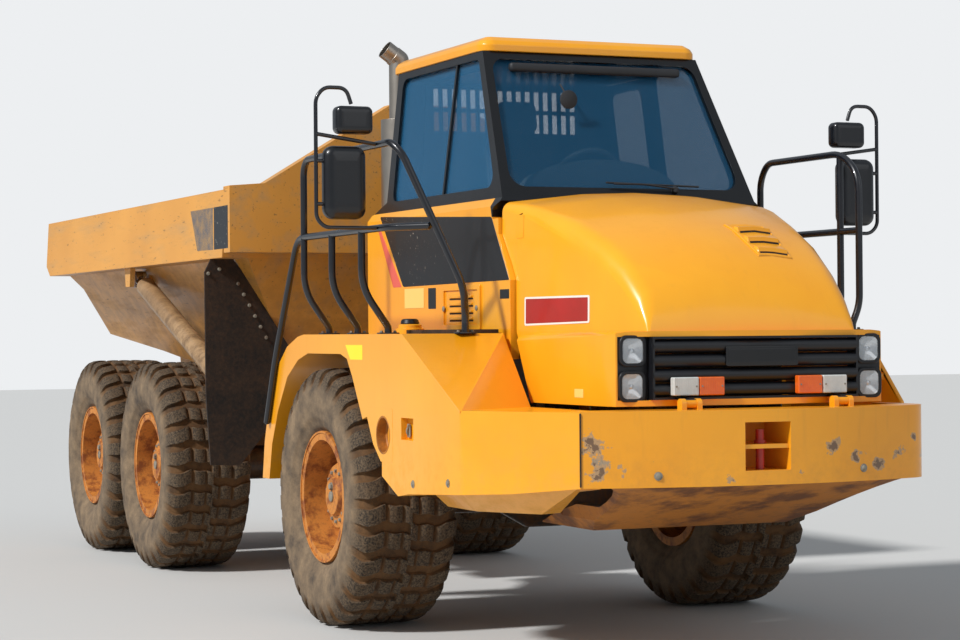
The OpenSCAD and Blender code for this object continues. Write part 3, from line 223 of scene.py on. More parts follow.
# %% Paints
def enamel(name, clean, worn, dust, dust_top, gloss=.28, grime=.5, scuffs=()):
    """Sprayed enamel: colour drifts a little, dust gathers below dust_top, edges are rubbed. Each
    scuff is the x, z and radius of a place where the paint has been knocked off in flakes."""
    m = Finish(name, clean, gloss, Coat_Weight=.35, Coat_Roughness=.12)
    colour = m.blend(m.ramp(m.noise(.9, 4), .35, .75), clean, worn)
    low = m.ramp(m.part("Z"), dust_top, dust_top - .9)
    specks = m.ramp(m.noise(.09, 9, .7), .42, .68)
    streaks = m.ramp(m.noise(.05, 5, .6, m.stretched((1.0, 1.0, .12))), .55, .8)
    dirt = m.math("MAXIMUM", m.times(low, specks), m.times(streaks, grime * .45))
    colour = m.blend(m.times(dirt, grime * 1.4), colour, dust)
    colour = m.blend(m.times(m.edge_wear(), .35), colour, worn)
    flat = m.vector("MULTIPLY", m.where, (1.0, 0.0, 1.0)).outputs[0]
    flakes = m.noise(.07, 6, .65)
    for x, z, radius in scuffs:
        away = m.vector("DISTANCE", flat, (x, 0.0, z)).outputs["Value"]
        close = m.times(m.ramp(away, radius, 0.0, .6, 1.2), flakes)
        colour = m.blend(m.ramp(close, .49, .52, 0.0, .75), colour, "#9C8B74")
        colour = m.blend(m.ramp(close, .57, .60, 0.0, .8), colour, "#5A4030")
    m.set(Base_Color=colour, Roughness=m.ramp(dirt, 0.0, .7, gloss, .75))
    return m.bump(m.noise(.004, 2), .04, .001)


def body_enamel(name, clean, worn, dust):
    """The dump body's thin enamel: even ochre, with faint level smears and fine scratches along Y.
    On what faces down the dust colour is laid as painted shade, broken up by clods."""
    m = Finish(name, clean, .5, Coat_Weight=.1, Coat_Roughness=.3)
    colour = m.blend(m.ramp(m.noise(1.4, 3), .3, .7), clean, worn)
    level = m.stretched((1.0, .16, 1.0))
    smear = m.ramp(m.noise(.16, 7, .62, level), .48, .72, 0.0, .5)
    colour = m.blend(smear, colour, "#A08B6C")
    scratch = m.ramp(m.noise(.02, 4, .6, level), .64, .68, 0.0, .6)
    colour = m.blend(scratch, colour, "#6B4A28")
    face = m.add("ShaderNodeSeparateXYZ", Vector=m.add("ShaderNodeNewGeometry").outputs["Normal"])
    # Painted shade: faces that look down turn towards the dust colour, in clods.
    down_facing_shade = m.ramp(face.outputs["Z"], -.15, -.6, 0.0, .65)
    clods = m.ramp(m.noise(.12, 8, .65), .35, .6, .4, 1.0)
    colour = m.blend(m.times(down_facing_shade, clods), colour, dust)
    colour = m.blend(m.times(m.edge_wear(.02), .5), colour, "#B97A30")
    m.set(Base_Color=colour, Roughness=m.ramp(smear, 0.0, .4, .42, .7))
    return m.bump(m.noise(.05, 4, where=level), .1, .003)


yellow_enamel = enamel("yellow_enamel_on_steel", "#F8AA1B", "#F09C12", "#A9814A", 1.35, grime=.35)
bumper_scuffs = [
    (-.99, 1.16, .16), (-.99, 1.05, .12), (-.86, 1.05, .07), (-.72, 1.10, .05),
    (.32, 1.14, .1), (.45, 1.09, .1), (.6, 1.05, .09), (.75, 1.10, .08), (1.0, 1.06, .12),
    (.86, 1.18, .05), (-.3, 1.0, .06), (.1, 1.02, .06), (1.02, 1.3, .06), (-1.35, 1.0, .06)]
bumper_enamel = enamel("chipped_enamel_on_bumper", "#F5A51B", "#EC9812", "#8C6436", 1.25,
                       scuffs=bumper_scuffs)
# The last colour here is used as painted shade on the body's down-facing faces.
faded_enamel = body_enamel("scraped_enamel_on_plate", "#E8A445", "#D3923C", "#8A5C2A")
frame_enamel, engine_enamel, red_enamel, barrel_enamel = (enamel(*row) for row in (
    ("dusty_dark_enamel", "#2B2018", "#46301C", "#6A4522", 2.2, .6, .9),
    ("plain_engine_enamel", "#8C7C50", "#6E6040", "#4A3C2A", 2.4, .5, .8),
    ("red_enamel_on_forging", "#B3241C", "#7E1C16", "#5A3A2A", 2.0, .45, .6),
    ("dust_caked_enamel", "#A9875E", "#8C6B45", "#6E5232", 2.8, .7, .8)))
print("paints: 7")

# %% [markdown]
# The guard under the nose is bare rolled plate that mud and stones have scoured brown. The
# rims were painted once, and rust has come through from the bolts outwards.


# %% Rust, rubber and trim
def rusted(name, paint, rust, size, share, rough=.62):
    """Paint that rust breaks through in blotches `size` metres across."""
    m = Finish(name, paint, rough)
    blotch = m.noise(size, 8, .68)
    fine = m.noise(size * .18, 6, .7)
    colour = m.blend(m.ramp(blotch, share - .07, share + .07), rust, paint)
    m.set(Base_Color=m.blend(m.times(m.ramp(fine, .5, .75), .55), colour, "#6B4A2C"))
    return m.bump(fine, .35, .002)


def dusty_rubber(name, black, dust, size, amount, rough=.85):
    """Carbon-black rubber with dry dust in its hollows."""
    m = Finish(name, black, rough)
    cloud = m.ramp(m.noise(size, 8, .7), .38, .7)
    grit = m.ramp(m.noise(size * .1, 4, .7), .4, .75)
    m.set(Base_Color=m.blend(m.times(m.math("ADD", cloud, grit), amount), black, dust))
    return m.bump(grit, .3, .003)


def tyre_skin():
    """Tyre rubber by two attributes of the mesh: lug, 1 on the blocks' tops, and side, 1 on the
    sidewall. Mud stays brown between the blocks, the tops are rubbed grey, the side is dusty."""
    m = Finish("natural_rubber_tyre", "#2A2622", .88)
    lug, side = (m.add("ShaderNodeAttribute", [("attribute_name", key)]).outputs["Fac"]
                 for key in ("lug", "side"))
    cloud = m.noise(.14, 9, .7)
    grit = m.noise(.012, 5, .7)
    top = m.blend(m.ramp(grit, .4, .7), "#261E16", "#776249")
    mud = m.blend(m.ramp(cloud, .35, .65), "#3E2A16", "#6E4C28")
    wall = m.blend(m.ramp(cloud, .3, .7), "#453B32", "#8F785C")
    tread = m.blend(m.ramp(lug, .45, .85), mud, top)
    tread = m.blend(m.ramp(cloud, .5, .75, 0.0, .5), tread, "#5C4226")
    colour = m.blend(side, tread, wall)
    m.set(Base_Color=m.blend(m.ramp(grit, .55, .8, 0.0, .45), colour, "#2A241E"))
    return m.bump(grit, .4, .004)


def satin(name, colour, rough, metallic=0.0, grain=.002, strength=.15, coat=0.0):
    """A moulded or sprayed skin with a fine, even grain and a slow change of sheen."""
    m = Finish(name, colour, rough, metallic, Coat_Weight=coat)
    low, high = rough * .85, min(1.0, rough * 1.2)
    m.set(Roughness=m.ramp(m.noise(.25, 4), .3, .7, low, high))
    return m.bump(m.noise(grain, 2), strength, .0008)


def hinged_grille():
    """The grille's black moulding, and below it the two hinges in the tractor's paint."""
    m = Finish("grille_with_painted_hinges", "#0D0F14", .4)
    plastic = m.blend(m.noise(.05, 5), "#0A0B0F", "#16181D")
    m.set(Base_Color=m.blend(m.ramp(m.part("Z"), 1.399, 1.397), plastic, "#F09C12"))
    return m.bump(m.noise(.003, 2), .15, .0008)


def thin_glass(name, colour, facing, edge):
    """Thin tempered glass: it covers what lies behind by `facing` seen square on, and by `edge`
    where it mirrors at a low angle."""
    m = Finish(name, colour, .03)
    fresnel = m.add("ShaderNodeFresnel", [("IOR", 1.5)]).outputs[0]
    m.set(Alpha=m.ramp(fresnel, .04, .5, facing, edge),
          Roughness=m.ramp(m.noise(.4, 6), .4, .8, .02, .09))
    return m.made


scoured_plate = rusted("scoured_rolled_plate", "#B4701F", "#6E3F16", .3, .47)
rim_paint = rusted("rusty_rim_enamel", "#C98034", "#8A4A1E", .10, .46)
duct_paint = rusted("grey_duct_enamel", "#77736C", "#5A5048", .3, .4, .5)
tyre_rubber = tyre_skin()
flap_rubber = dusty_rubber("reclaimed_rubber_sheet", "#14110F", "#5E4026", .3, .3)
black_enamel = satin("satin_black_enamel", "#07080B", .32, coat=.15)
rail_black = satin("powder_coated_tube", "#0E1017", .3, coat=.5)
cab_plastic = satin("moulded_abs_trim", "#26272A", .6, grain=.003, strength=.3)
dash_vinyl = satin("grained_dash_vinyl", "#66747A", .55, grain=.003, strength=.3)
grille_plastic = satin("moulded_grille_plastic", "#0D0F14", .4, grain=.003)
grille_node_skin = hinged_grille()
rod_chrome = satin("hard_chrome_rod", "#C9C9CC", .14, 1.0, strength=.03)
stack_steel = satin("heat_stained_steel", "#A8A096", .36, 1.0, strength=.08)
mirror_metal = satin("silvered_mirror", "#D5DADF", .04, 1.0, strength=0.0)
# Cab glass: its blue is a painted reflection of the sky, strongest at low angles.
cab_pane = thin_glass("glass_with_painted_sky_blue", "#2C668C", .09, .75)
lamp_pane = thin_glass("clear_lamp_glass", "#E8ECEE", .12, .7)
print("rust, rubber, trim and glass: 16")

# %% [markdown]
# Small fittings bring a few more finishes: zinc plate that has rusted, vinyl film, a mirror-bright
# lamp bowl, and indicator lenses that are amber inside and clear outside.


# %% Fittings
def scratched_film(name, colour, flaw):
    """Glossy film with small scratches and flecks towards its rear, where gravel reaches it."""
    m = Finish(name, colour, .34, Coat_Weight=.15)
    scratches = m.ramp(m.noise(.02, 5, .6), .66, .70)
    rear = m.ramp(m.part("Y"), -2.75, -2.1)
    m.set(Base_Color=m.blend(m.times(scratches, rear), colour, flaw))
    return m.bump(scratches, .1, .0005)


def two_colour_lens():
    """Amber acrylic towards the middle of the truck and clear acrylic outside |x| = 0.3675."""
    m = Finish("two_colour_acrylic", "#E8641A", .2, Coat_Weight=.5)
    outside = m.ramp(m.math("ABSOLUTE", m.part("X"), .5), .367, .368)
    cloud = m.noise(.06, 3)
    amber = m.blend(cloud, "#D24A0C", "#F07A26")
    m.set(Base_Color=m.blend(outside, amber, m.blend(cloud, "#B9BBB6", "#DDDEDA")))
    return m.bump(m.wave(30.0, 0.0, "X"), .25, .002)


nut_steel = rusted("zinc_plated_steel", "#8A8578", "#5A3A22", .05, .42, .45)
black_vinyl = scratched_film("black_vinyl_film", "#090A0D", "#B9B2A2")
red_vinyl = satin("red_vinyl_film", "#E2604E", .32, grain=.02, strength=.03, coat=.3)
pale_vinyl = satin("pale_vinyl_film", "#F3CF73", .4, grain=.02, strength=.03)
fluorescent_vinyl = satin("fluorescent_yellow_film", "#F4E22A", .4, grain=.02, strength=.03)
grey_vinyl = dusty_rubber("weathered_grey_film", "#4F5560", "#B28A50", .09, .6, .55)
reflector_metal = satin("aluminised_reflector", "#D8DADC", .12, 1.0, strength=.02)
indicator_lens = two_colour_lens()
mirror_shell = satin("black_moulded_shell", "#0B0D12", .32, grain=.004, strength=.1, coat=.3)
white_enamel = satin("white_enamel", "#E9E6E0", .3, strength=.03, coat=.4)
print("fittings: 10")

# %% [markdown]
# ## The woven seat
# The seat's cover is a close weave. Its threads run about 2 mm apart on the real seat, and are
# drawn 6 mm apart here so that they show.

# %% Seat cloth
cloth_finish = Finish("woven_polyester_cloth", "#4A4D53", .9, Sheen_Weight=.3)
weave = cloth_finish.times(*(cloth_finish.wave(26.0, .6, axis) for axis in "XZ"))
cloth_finish.set(Base_Color=cloth_finish.blend(weave, "#3C3F45", "#777B83"))
seat_cloth = cloth_finish.bump(weave, .4, .002)
print("seat cloth ready")

# %% [markdown]
# ## Solids that keep their shape
# Sheet steel is folded and castings are rounded. Each of these solids is copied, its loose
# triangles are joined into flat faces, and a Bevel modifier rounds its edges as far as the
# shortest edges beside them allow. The copy then stands for the solid.


# %% Rounded copies of solids
def rounded(node, skin, width, segments=3, angle=28):
    """A merged copy of a solid with its edges rounded by up to width metres."""
    copy = nodes[node].copy()
    copy.data = nodes[node].data.copy()
    copy.name = node + "_rounded"
    copy.parent = None
    scene.collection.objects.link(copy)
    shape = bmesh.new()
    shape.from_mesh(copy.data)
    bmesh.ops.remove_doubles(shape, verts=shape.verts, dist=2e-5)
    bmesh.ops.dissolve_limit(shape, angle_limit=math.radians(1.5), verts=shape.verts,
                             edges=shape.edges)
    bmesh.ops.recalc_face_normals(shape, faces=shape.faces)
    shape.to_mesh(copy.data)
    shape.free()
    if "custom_normal" in copy.data.attributes:
        copy.data.attributes.remove(copy.data.attributes["custom_normal"])
    copy.data.shade_smooth()
    copy.data.materials.clear()
    copy.data.materials.append(skin)
    bevel = copy.modifiers.new("edges", "BEVEL")
    bevel.width, bevel.segments = width, segments
    bevel.limit_method, bevel.angle_limit = "ANGLE", math.radians(angle)
    bevel.use_clamp_overlap = bevel.harden_normals = True
    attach(copy, nodes[node]["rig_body"])
    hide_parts(node)


for skin, widths in (
        (frame_enamel, {"front_frame": .008, "front_axle": .01, "hitch_yoke": .01,
                        "bogie_beams": .02, "bogie_axles": .01}),
        (engine_enamel, {"engine_block": .03}), (scoured_plate, {"belly_guard": .02}),
        (bumper_enamel, {"bumper": .03}), (dash_vinyl, {"console": .02}),
        (yellow_enamel, {"fender_right": .03, "fender_left": .012, "cab_lower": .012,
                         "fuel_tank": .02, "cab_roof": .01, "hood": .004}),
        (black_enamel, {"cab_frame": .008, "cab_door": .006}),
        (faded_enamel, {"rear_frame": .01, "dump_body": .012}),
        (duct_paint, {"air_cleaner": .02}), (stack_steel, {"exhaust_stack": .005})):
    for node, width in widths.items():
        rounded(node, skin, width)
print("rounded copies made")

# %% [markdown]
# ## Solids that keep their surface
# Round and thin parts need only their finish.

# %% Finishes on plain solids
plain = {"tow_pin": red_enamel, "cab_glass": cab_pane, "door_glass": cab_pane,
         "rear_screen": black_enamel, "grille": grille_node_skin, "mud_flaps": flap_rubber}
for start, skin in (("rim_", rim_paint), ("hoist_barrel", barrel_enamel), ("hoist_rod", rod_chrome),
                    ("steer_barrel", frame_enamel), ("steer_rod", rod_chrome)):
    plain.update({node: skin for node in nodes if node.startswith(start)})
for node, skin in plain.items():
    for slot in nodes[node].material_slots:
        slot.material = skin
print("plain solids finished:", len(plain))

# %% [markdown]
# ## Surfaces from numbers
# The finer pieces are grids of points worked out with numpy. Their numbers are in metres in the
# drawing of the truck, where the front axle is y = 0. One function closes a grid into a mesh and
# moves it to the frame.

# %% Grids, plates, lathes and tubes
front_axle_y, closed = -2.135, (True, True)
nose, ahead, skyward, right_side = (0, -1, 0), (0, 1, 0), (0, 0, 1), (-1, 0, 0)


def quads(rows, columns, wrap_rows, wrap_columns):
    """Corner numbers of a grid's faces: vertex (i, j) is i * columns + j, wrapped sides meet."""
    i, j = np.meshgrid(np.arange(rows - (not wrap_rows)), np.arange(columns - (not wrap_columns)),
                       indexing="ij")
    k, m = (i + 1) % rows, (j + 1) % columns
    corners = [i * columns + j, k * columns + j, k * columns + m, i * columns + m]
    return np.stack(corners, -1).reshape(-1, 4)


def mesh_piece(name, grids, skin, node, replaces=False, wrap=(False, True), smooth=40, clean=True):
    """One object from a list of grids (rows, columns, 3), on a solid's body.
    Rows that shrink to a point are merged."""
    corners, faces, start = [], [], 0
    for grid in grids:
        rows, columns = grid.shape[:2]
        corners.append(grid.reshape(-1, 3))
        faces.append(quads(rows, columns, *wrap) + start)
        start += rows * columns
    corners = np.concatenate(corners) + [0, front_axle_y, 0]
    mesh = bpy.data.meshes.new(name)
    mesh.from_pydata(corners.tolist(), [], np.concatenate(faces).tolist())
    if clean:
        shape = bmesh.new()
        shape.from_mesh(mesh)
        bmesh.ops.remove_doubles(shape, verts=shape.verts, dist=1e-6)
        bmesh.ops.dissolve_degenerate(shape, dist=1e-7, edges=shape.edges)
        bmesh.ops.recalc_face_normals(shape, faces=shape.faces)
        shape.to_mesh(mesh)
        shape.free()
    mesh.shade_smooth()
    mesh.set_sharp_from_angle(angle=math.radians(smooth))
    mesh.materials.append(skin)
    piece = place(name, mesh)
    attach(piece, nodes[node]["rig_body"])
    if replaces:
        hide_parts(node)
    return piece


def axes(normal, up=(0, 0, 1)):
    """Right, up and normal directions of a face that looks along normal."""
    n = np.array(normal, float) / np.linalg.norm(normal)
    r = np.cross(up, n)
    r /= np.linalg.norm(r)
    return r, np.cross(n, r), n


def lay(centre, directions, flat, depth):
    """Flat points (..., 2) and their depths, laid along right, up and normal from a centre."""
    r, u, n = directions
    return np.array(centre) + flat[..., :1] * r + flat[..., 1:] * u + depth * n


def rounded_outline(half_w, half_h, radius, steps=6):
    """Outline of a rounded rectangle and its outward normals: four quarter circles."""
    a = (np.arange(4)[:, None] * 90 + np.linspace(0, 90, steps + 1)[None]) * math.pi / 180
    sign = np.array([[1, 1], [-1, 1], [-1, -1], [1, -1]])[:, None]
    normal = np.stack([np.cos(a), np.sin(a)], -1)
    centre = sign * np.array([half_w - radius, half_h - radius])
    return (centre + radius * normal).reshape(-1, 2), normal.reshape(-1, 2)


def plate(centre, normal, size, radius, thick, edge=.002, crown=0.0, up=(0, 0, 1), rings=5):
    """A rounded plate whose back lies at centre. Rows run from the middle of the front, which
    stands crown * (1 - s ** 2) proud, over a quarter-round edge to the back."""
    flat, out = rounded_outline(size[0] / 2, size[1] / 2, radius)
    s = np.linspace(0, 1, rings)[:, None, None]
    turn = np.linspace(0, math.pi / 2, 4)[1:, None, None]
    front = np.concatenate([s * (flat - edge * out), flat - edge * (1 - np.sin(turn)) * out,
                            flat[None], 0 * flat[None]])
    depth = np.concatenate([thick + crown * (1 - s ** 2), thick - edge * (1 - np.cos(turn)),
                            np.zeros((2, 1, 1))])
    return lay(centre, axes(normal, up), front, depth)


def lathe(centre, axis, profile, segments=48, hexagon=()):
    """Profile rows [radius, height along the axis] turned about it. Rows named in hexagon follow
    r * cos 30 / cos((angle + 30) mod 60 - 30), which is a six-sided outline."""
    r, u, n = axes(axis, (0, 0, 1) if abs(axis[2]) < .9 else (0, 1, 0))
    profile = np.array(profile, float)
    a = np.linspace(0, 2 * math.pi, segments, endpoint=False)
    ring = np.cos(a)[:, None] * r + np.sin(a)[:, None] * u
    radius = np.repeat(profile[:, :1], segments, 1)
    sixty, thirty = math.pi / 3, math.pi / 6
    six = math.cos(thirty) / np.cos((a + thirty) % sixty - thirty)
    radius[list(hexagon)] *= six
    return np.array(centre) + radius[..., None] * ring + profile[:, 1:, None] * n


def bolt(centre, axis, across, height, segments=24):
    """A hexagon head on its washer."""
    w, h = across * .62, height
    head = [[across * .52, h * .24], [across * .52, h * .86], [across * .45, h], [0, h]]
    return lathe(centre, axis, [[0, 0], [w, 0], [w, h * .22]] + head, segments, (3, 4, 5))


def round_corners(points, radius, steps=6):
    """A path with its corners turned on curves (1 - t)^2 A + 2 t (1 - t) P + t^2 C."""
    p = np.array(points, float)
    legs = np.linalg.norm(np.diff(p, axis=0), axis=1)
    cut = np.minimum(radius, .48 * np.minimum(legs[:-1], legs[1:]))[:, None]
    a = p[1:-1] + cut * (p[:-2] - p[1:-1]) / legs[:-1, None]
    c = p[1:-1] + cut * (p[2:] - p[1:-1]) / legs[1:, None]
    t = np.linspace(0, 1, steps + 1)[None, :, None]
    turns = (1 - t) ** 2 * a[:, None] + 2 * t * (1 - t) * p[1:-1][:, None] + t ** 2 * c[:, None]
    return np.concatenate([p[:1], turns.reshape(-1, 3), p[-1:]])


def tube(corners, diameter, radius=.05, sides=16):
    """A round bar along a path: centre + d / 2 * (cos a * e + sin a * f), with rounded ends. The
    direction e is square to the path and to a slanted line that no path here follows."""
    path = round_corners(corners, radius) if len(corners) > 2 else np.array(corners, float)
    way = np.gradient(path, axis=0)
    way /= np.linalg.norm(way, axis=1, keepdims=True)
    e = np.cross(way, (.31, .27, .91))
    e /= np.linalg.norm(e, axis=1, keepdims=True)
    f = np.cross(way, e)
    a = np.linspace(0, 2 * math.pi, sides, endpoint=False)[None, :, None]
    spoke = np.cos(a) * e[:, None] + np.sin(a) * f[:, None]
    rows = path[:, None] + diameter / 2 * spoke
    lip = diameter * .12
    first = np.stack([path[0] + 0 * spoke[0], path[0] + (diameter / 2 - lip) * spoke[0]])
    last = np.stack([path[-1] + (diameter / 2 - lip) * spoke[-1], path[-1] + 0 * spoke[-1]])
    rows[0] += lip * way[0]
    rows[-1] -= lip * way[-1]
    return np.concatenate([first, rows, last])


print("builders ready")

# %% [markdown]
# ## Tyres
# Wide off-road tyres of natural rubber, moulded with chunky lugs that meet in a zigzag along the
# middle. Each half of the tread has thirty lugs, half a pitch apart from the other half's, as on
# the solids. Here they are leaned, split by a shallow groove and given ribs on the sidewall.

# %% Tyres
lugs, share, lug_edge, tyre_r, bead = 30, .62, .033, .7719, .3656


def tyre_section():
    """Half of the section as radius and x of casing and tip, from the bead to the middle."""
    inner_x = [.215, .19, .168, .159, .150, .141, .132, .1, .066, .058, .050, .042, .034, .012, 0.]
    casing = np.array([
        [bead, .245], [.397, .2488], [.411, .265], [.425, .281], [.44, .289], [.462, .299],
        [.473, .310], [.49, .314], [.52, .321], [.548, .3245], [.585, .325], [.62, .3225],
        [.63, .3245], [.648, .317], [.66, .312], [.69, .291], [.716, .276], [.736, .252],
        [.7435, .234]] + [[.746, x] for x in inner_x])
    tip = casing.copy()
    tip[14:] = [[.668, .316], [.71, .302], [.742, .289], [.7575, .272], [.7655, .253]] + [
        [np.interp(x, [0, .1, .2], [tyre_r, tyre_r, .7705]), x] for x in inner_x]
    return casing, tip


def tyre_grid(centre):
    """Radius and x over (angle, section). Lug height is 1 inside a lug and 0 outside it, its
    edges fall over 3% of the pitch, and the angle is sheared by a wave of x, so the lugs lean."""
    casing, tip = (np.concatenate([half, half[::-1][1:] * [1, -1], [[bead, -.12], [bead, .12]]])
                   for half in tyre_section())
    edge = np.array([0, .1, .172, .205, .25, .292, .325, .4, .5, .6, .675, .708, .75, .795, .828,
                     .9])
    t = (np.arange(lugs)[:, None] + edge[None]).ravel()[:, None]
    x = casing[None, :, 1]
    low_x, high_x = (
        np.clip((share / 2 + .016 - np.abs((t - turn + .5) % 1 - .5)) / lug_edge, 0, 1)
        for turn in (0.0, .5))
    lug = np.where(x > .001, high_x, np.where(x < -.001, low_x, np.maximum(low_x, high_x)))
    groove = (.95 * np.exp(-((np.abs(x) - .150) / .011) ** 2)
              + .75 * np.exp(-((np.abs(x) - .050) / .009) ** 2))
    lug = lug * (1 - groove * (casing[None, :, 0] > .745))
    lean = .16 * np.sin(math.pi * np.clip(x / .27, -1, 1)) + .05 * np.sin(4 * math.pi * x / .27)
    angle = (t + lean * np.clip((casing[None, :, 0] - .64) / .08, 0, 1)) * 2 * math.pi / lugs
    radius = casing[None, :, 0] + (tip - casing)[None, :, 0] * lug
    across = casing[None, :, 1] + (tip - casing)[None, :, 1] * lug
    grid = np.stack([across + 0 * angle, radius * np.sin(angle), -radius * np.cos(angle)], -1)
    side = np.clip((.69 - casing[None, :, 0]) / .05, 0, 1) + 0 * lug
    return (grid + centre)[:, ::-1], {"lug": lug[:, ::-1], "side": side[:, ::-1]}


wheels = {}
for node in [n for n in nodes if n.startswith("tyre_")]:
    wheel = node[5:]
    low, high = (np.array(corner) - [0, front_axle_y, 0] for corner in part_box(node))
    wheels[wheel] = (low + high) / 2
    grid, marks = tyre_grid(wheels[wheel])
    tyre = mesh_piece("tread_" + wheel, [grid], tyre_rubber, node, True, closed, 50, False)
    for key, values in marks.items():
        mark = tyre.data.attributes.new(key, "FLOAT", "POINT")
        mark.data.foreach_set("value", values.astype(np.float32).ravel())
print("tyres with", lugs, "lugs a side")

# %% [markdown]
# ## Wheel nuts
# Each steel rim is clamped by twenty nuts round the hub, with a ring of smaller screws on the
# hub's cover and one filler plug. They are forged and zinc plated, and have rusted with the rims.

# %% Wheel nuts
nut_rows = ((20, .246, .075, .036, .03), (14, .152, .186, .02, .012))
ring_rows = ((.2728, .006, .383, .3935), (.0748, .007, .206, .222))
plug = [[0, 0], [.032, 0], [.032, .008], [.026, .012], [0, .012]]
for wheel, centre in wheels.items():
    out = np.array([np.sign(centre[0]), 0, 0])
    nuts = [bolt(centre + [out[0] * x, radius * math.sin(a), radius * math.cos(a)], out, across,
                 height, 12)
            for count, radius, x, across, height in nut_rows
            for a in np.arange(count) * 2 * math.pi / count]
    nuts.append(bolt(centre + [out[0] * .216, 0, .06], out, .04, .016, 12))
    nuts.append(lathe(centre + out * .2155, out, plug, 20))
    mesh_piece("wheel_nuts_" + wheel, nuts, nut_steel, "rim_" + wheel)
    rings = [lathe(centre + out * x, out, [[r0, 0], [r0, h], [r1, h], [r1, 0]], 72)
             for x, h, r0, r1 in ring_rows]
    mesh_piece("rim_rings_" + wheel, rings, rim_paint, "rim_" + wheel, wrap=closed)
print("nuts on", len(wheels), "wheels")

# %% [markdown]
# ## Lamps, indicators and the blank nameplate
# A headlamp is a pressed bowl, bright inside, behind a squared glass lens in a black moulded
# bezel. The nameplate in the middle of the grille is a plain black plate.

# %% Lamps and nameplate


def frame_ring(centre, normal, outer, outer_r, inner, inner_r, thick, edge=.003):
    """A rounded frame: rows run over its inner wall, its front and its outer wall, and meet."""
    (a, na), (b, nb) = (rounded_outline(s[0] / 2, s[1] / 2, k)
                        for s, k in ((inner, inner_r), (outer, outer_r)))
    rows = [(a, 0), (a, thick - edge), (a + edge * na, thick), (b - edge * nb, thick),
            (b, thick - edge), (b, 0)]
    return np.stack([lay(centre, axes(normal), p, d) for p, d in rows])


def bowl(centre, normal, size, radius, deep, wall=.0015):
    """A reflector: depth deep * s ** 2 from its middle out to the rim, and back behind itself."""
    r, u, n = axes(normal)
    flat = rounded_outline(size[0] / 2, size[1] / 2, radius)[0]
    s = np.linspace(0, 1, 8)
    rows = [(k, deep * k * k + wall) for k in s] + [(k, deep * k * k) for k in s[::-1]]
    return np.stack([np.array(centre) + k * (flat[:, :1] * r + flat[:, 1:] * u) + d * n
                     for k, d in rows])


lamp_y, bar_front = -2.6203, -2.6845
lamps = [(side * x, z) for side in (-1, 1) for x, z in ((.704, 1.650), (.708, 1.468))]
bulb = [[0, 0], [.014, 0], [.012, .007], [.006, .01], [0, .0105]]
screw = [[0, 0], [.0052, 0], [.0046, .0022], [0, .003]]
mesh_piece("lamp_bezels", [
    frame_ring((x, lamp_y, z), nose, (.152, .16), .04, (.116, .128), .032, .02)
    for x, z in lamps], grille_plastic, "grille", wrap=closed)
mesh_piece("lamp_bowls", [bowl((x, lamp_y, z), nose, (.114, .126), .031, .013)
                          for x, z in lamps], reflector_metal, "headlamps")
mesh_piece("lamp_bulbs", [lathe((x, lamp_y - .0016, z), nose, bulb, 20) for x, z in lamps],
           mirror_metal, "headlamps")
mesh_piece("lamp_lenses", [
    plate((x, lamp_y - .0165, z), nose, (.116, .128), .032, .0022, .001, .006)
    for x, z in lamps], lamp_pane, "headlamps", True)
mesh_piece("nameplate", [
    plate((.024, bar_front, 1.618), nose, (.43, .104), .012, .005, .002),
    plate((.024, bar_front - .0048, 1.618), nose, (.40, .078), .006, .0012, .0006)],
    black_enamel, "grille")
rounded("indicators", indicator_lens, .007)
mesh_piece("indicator_screws", [
    lathe((side * (x + dx), bar_front - .0412, 1.4665), nose, screw, 12)
    for side in (-1, 1) for x in (.2925, .4425) for dx in (-.058, .058)],
    nut_steel, "indicators")
print("lamps:", len(lamps))

# %% [markdown]
# ## The louvre on the hood
# Three pressed vanes let hot air out of the engine bay. They follow the hood's crown, which is
# worked out here from the same sections as the solid: half width, height, crown and corner. The
# face where each vane drops is dark rubber: painted shade for the opening beneath its lip.

# %% Louvre
hood_rear, hood_long = -1.292, 1.348
first_root, teeth_span, vane_count = .08, .86, 3
hood_sections = np.array([
    [0, .828, 2.482, .062, .06], [.12, .806, 2.466, .062, .075], [.23, .78, 2.44, .062, .09],
    [.45, .728, 2.35, .06, .11], [.66, .684, 2.235, .062, .12], [.82, .652, 2.1, .058, .12],
    [.926, .634, 1.965, .045, .11], [.98, .624, 1.84, .024, .07], [1, .618, 1.752, .01, .02]])


def hood_top(x, y):
    """Height of the hood: its crown falls in two straight runs from the middle to the corner."""
    ahead_by = (hood_rear - y) / hood_long
    w, z, c, r = (np.interp(ahead_by, hood_sections[:, 0], column)
                  for column in hood_sections.T[1:])
    a = np.abs(x)
    inner = z + c * (1 - .5 * a / w)
    outer = z + .8 * c * (w - r - a) / (.6 * w - r)
    return np.where(a < .4 * w, inner, outer)


def tooth_phase(v):
    """How far through its tooth a place on the louvre is: 0 at the root, 1 at the next root."""
    return (v - first_root) / teeth_span * vane_count % 1


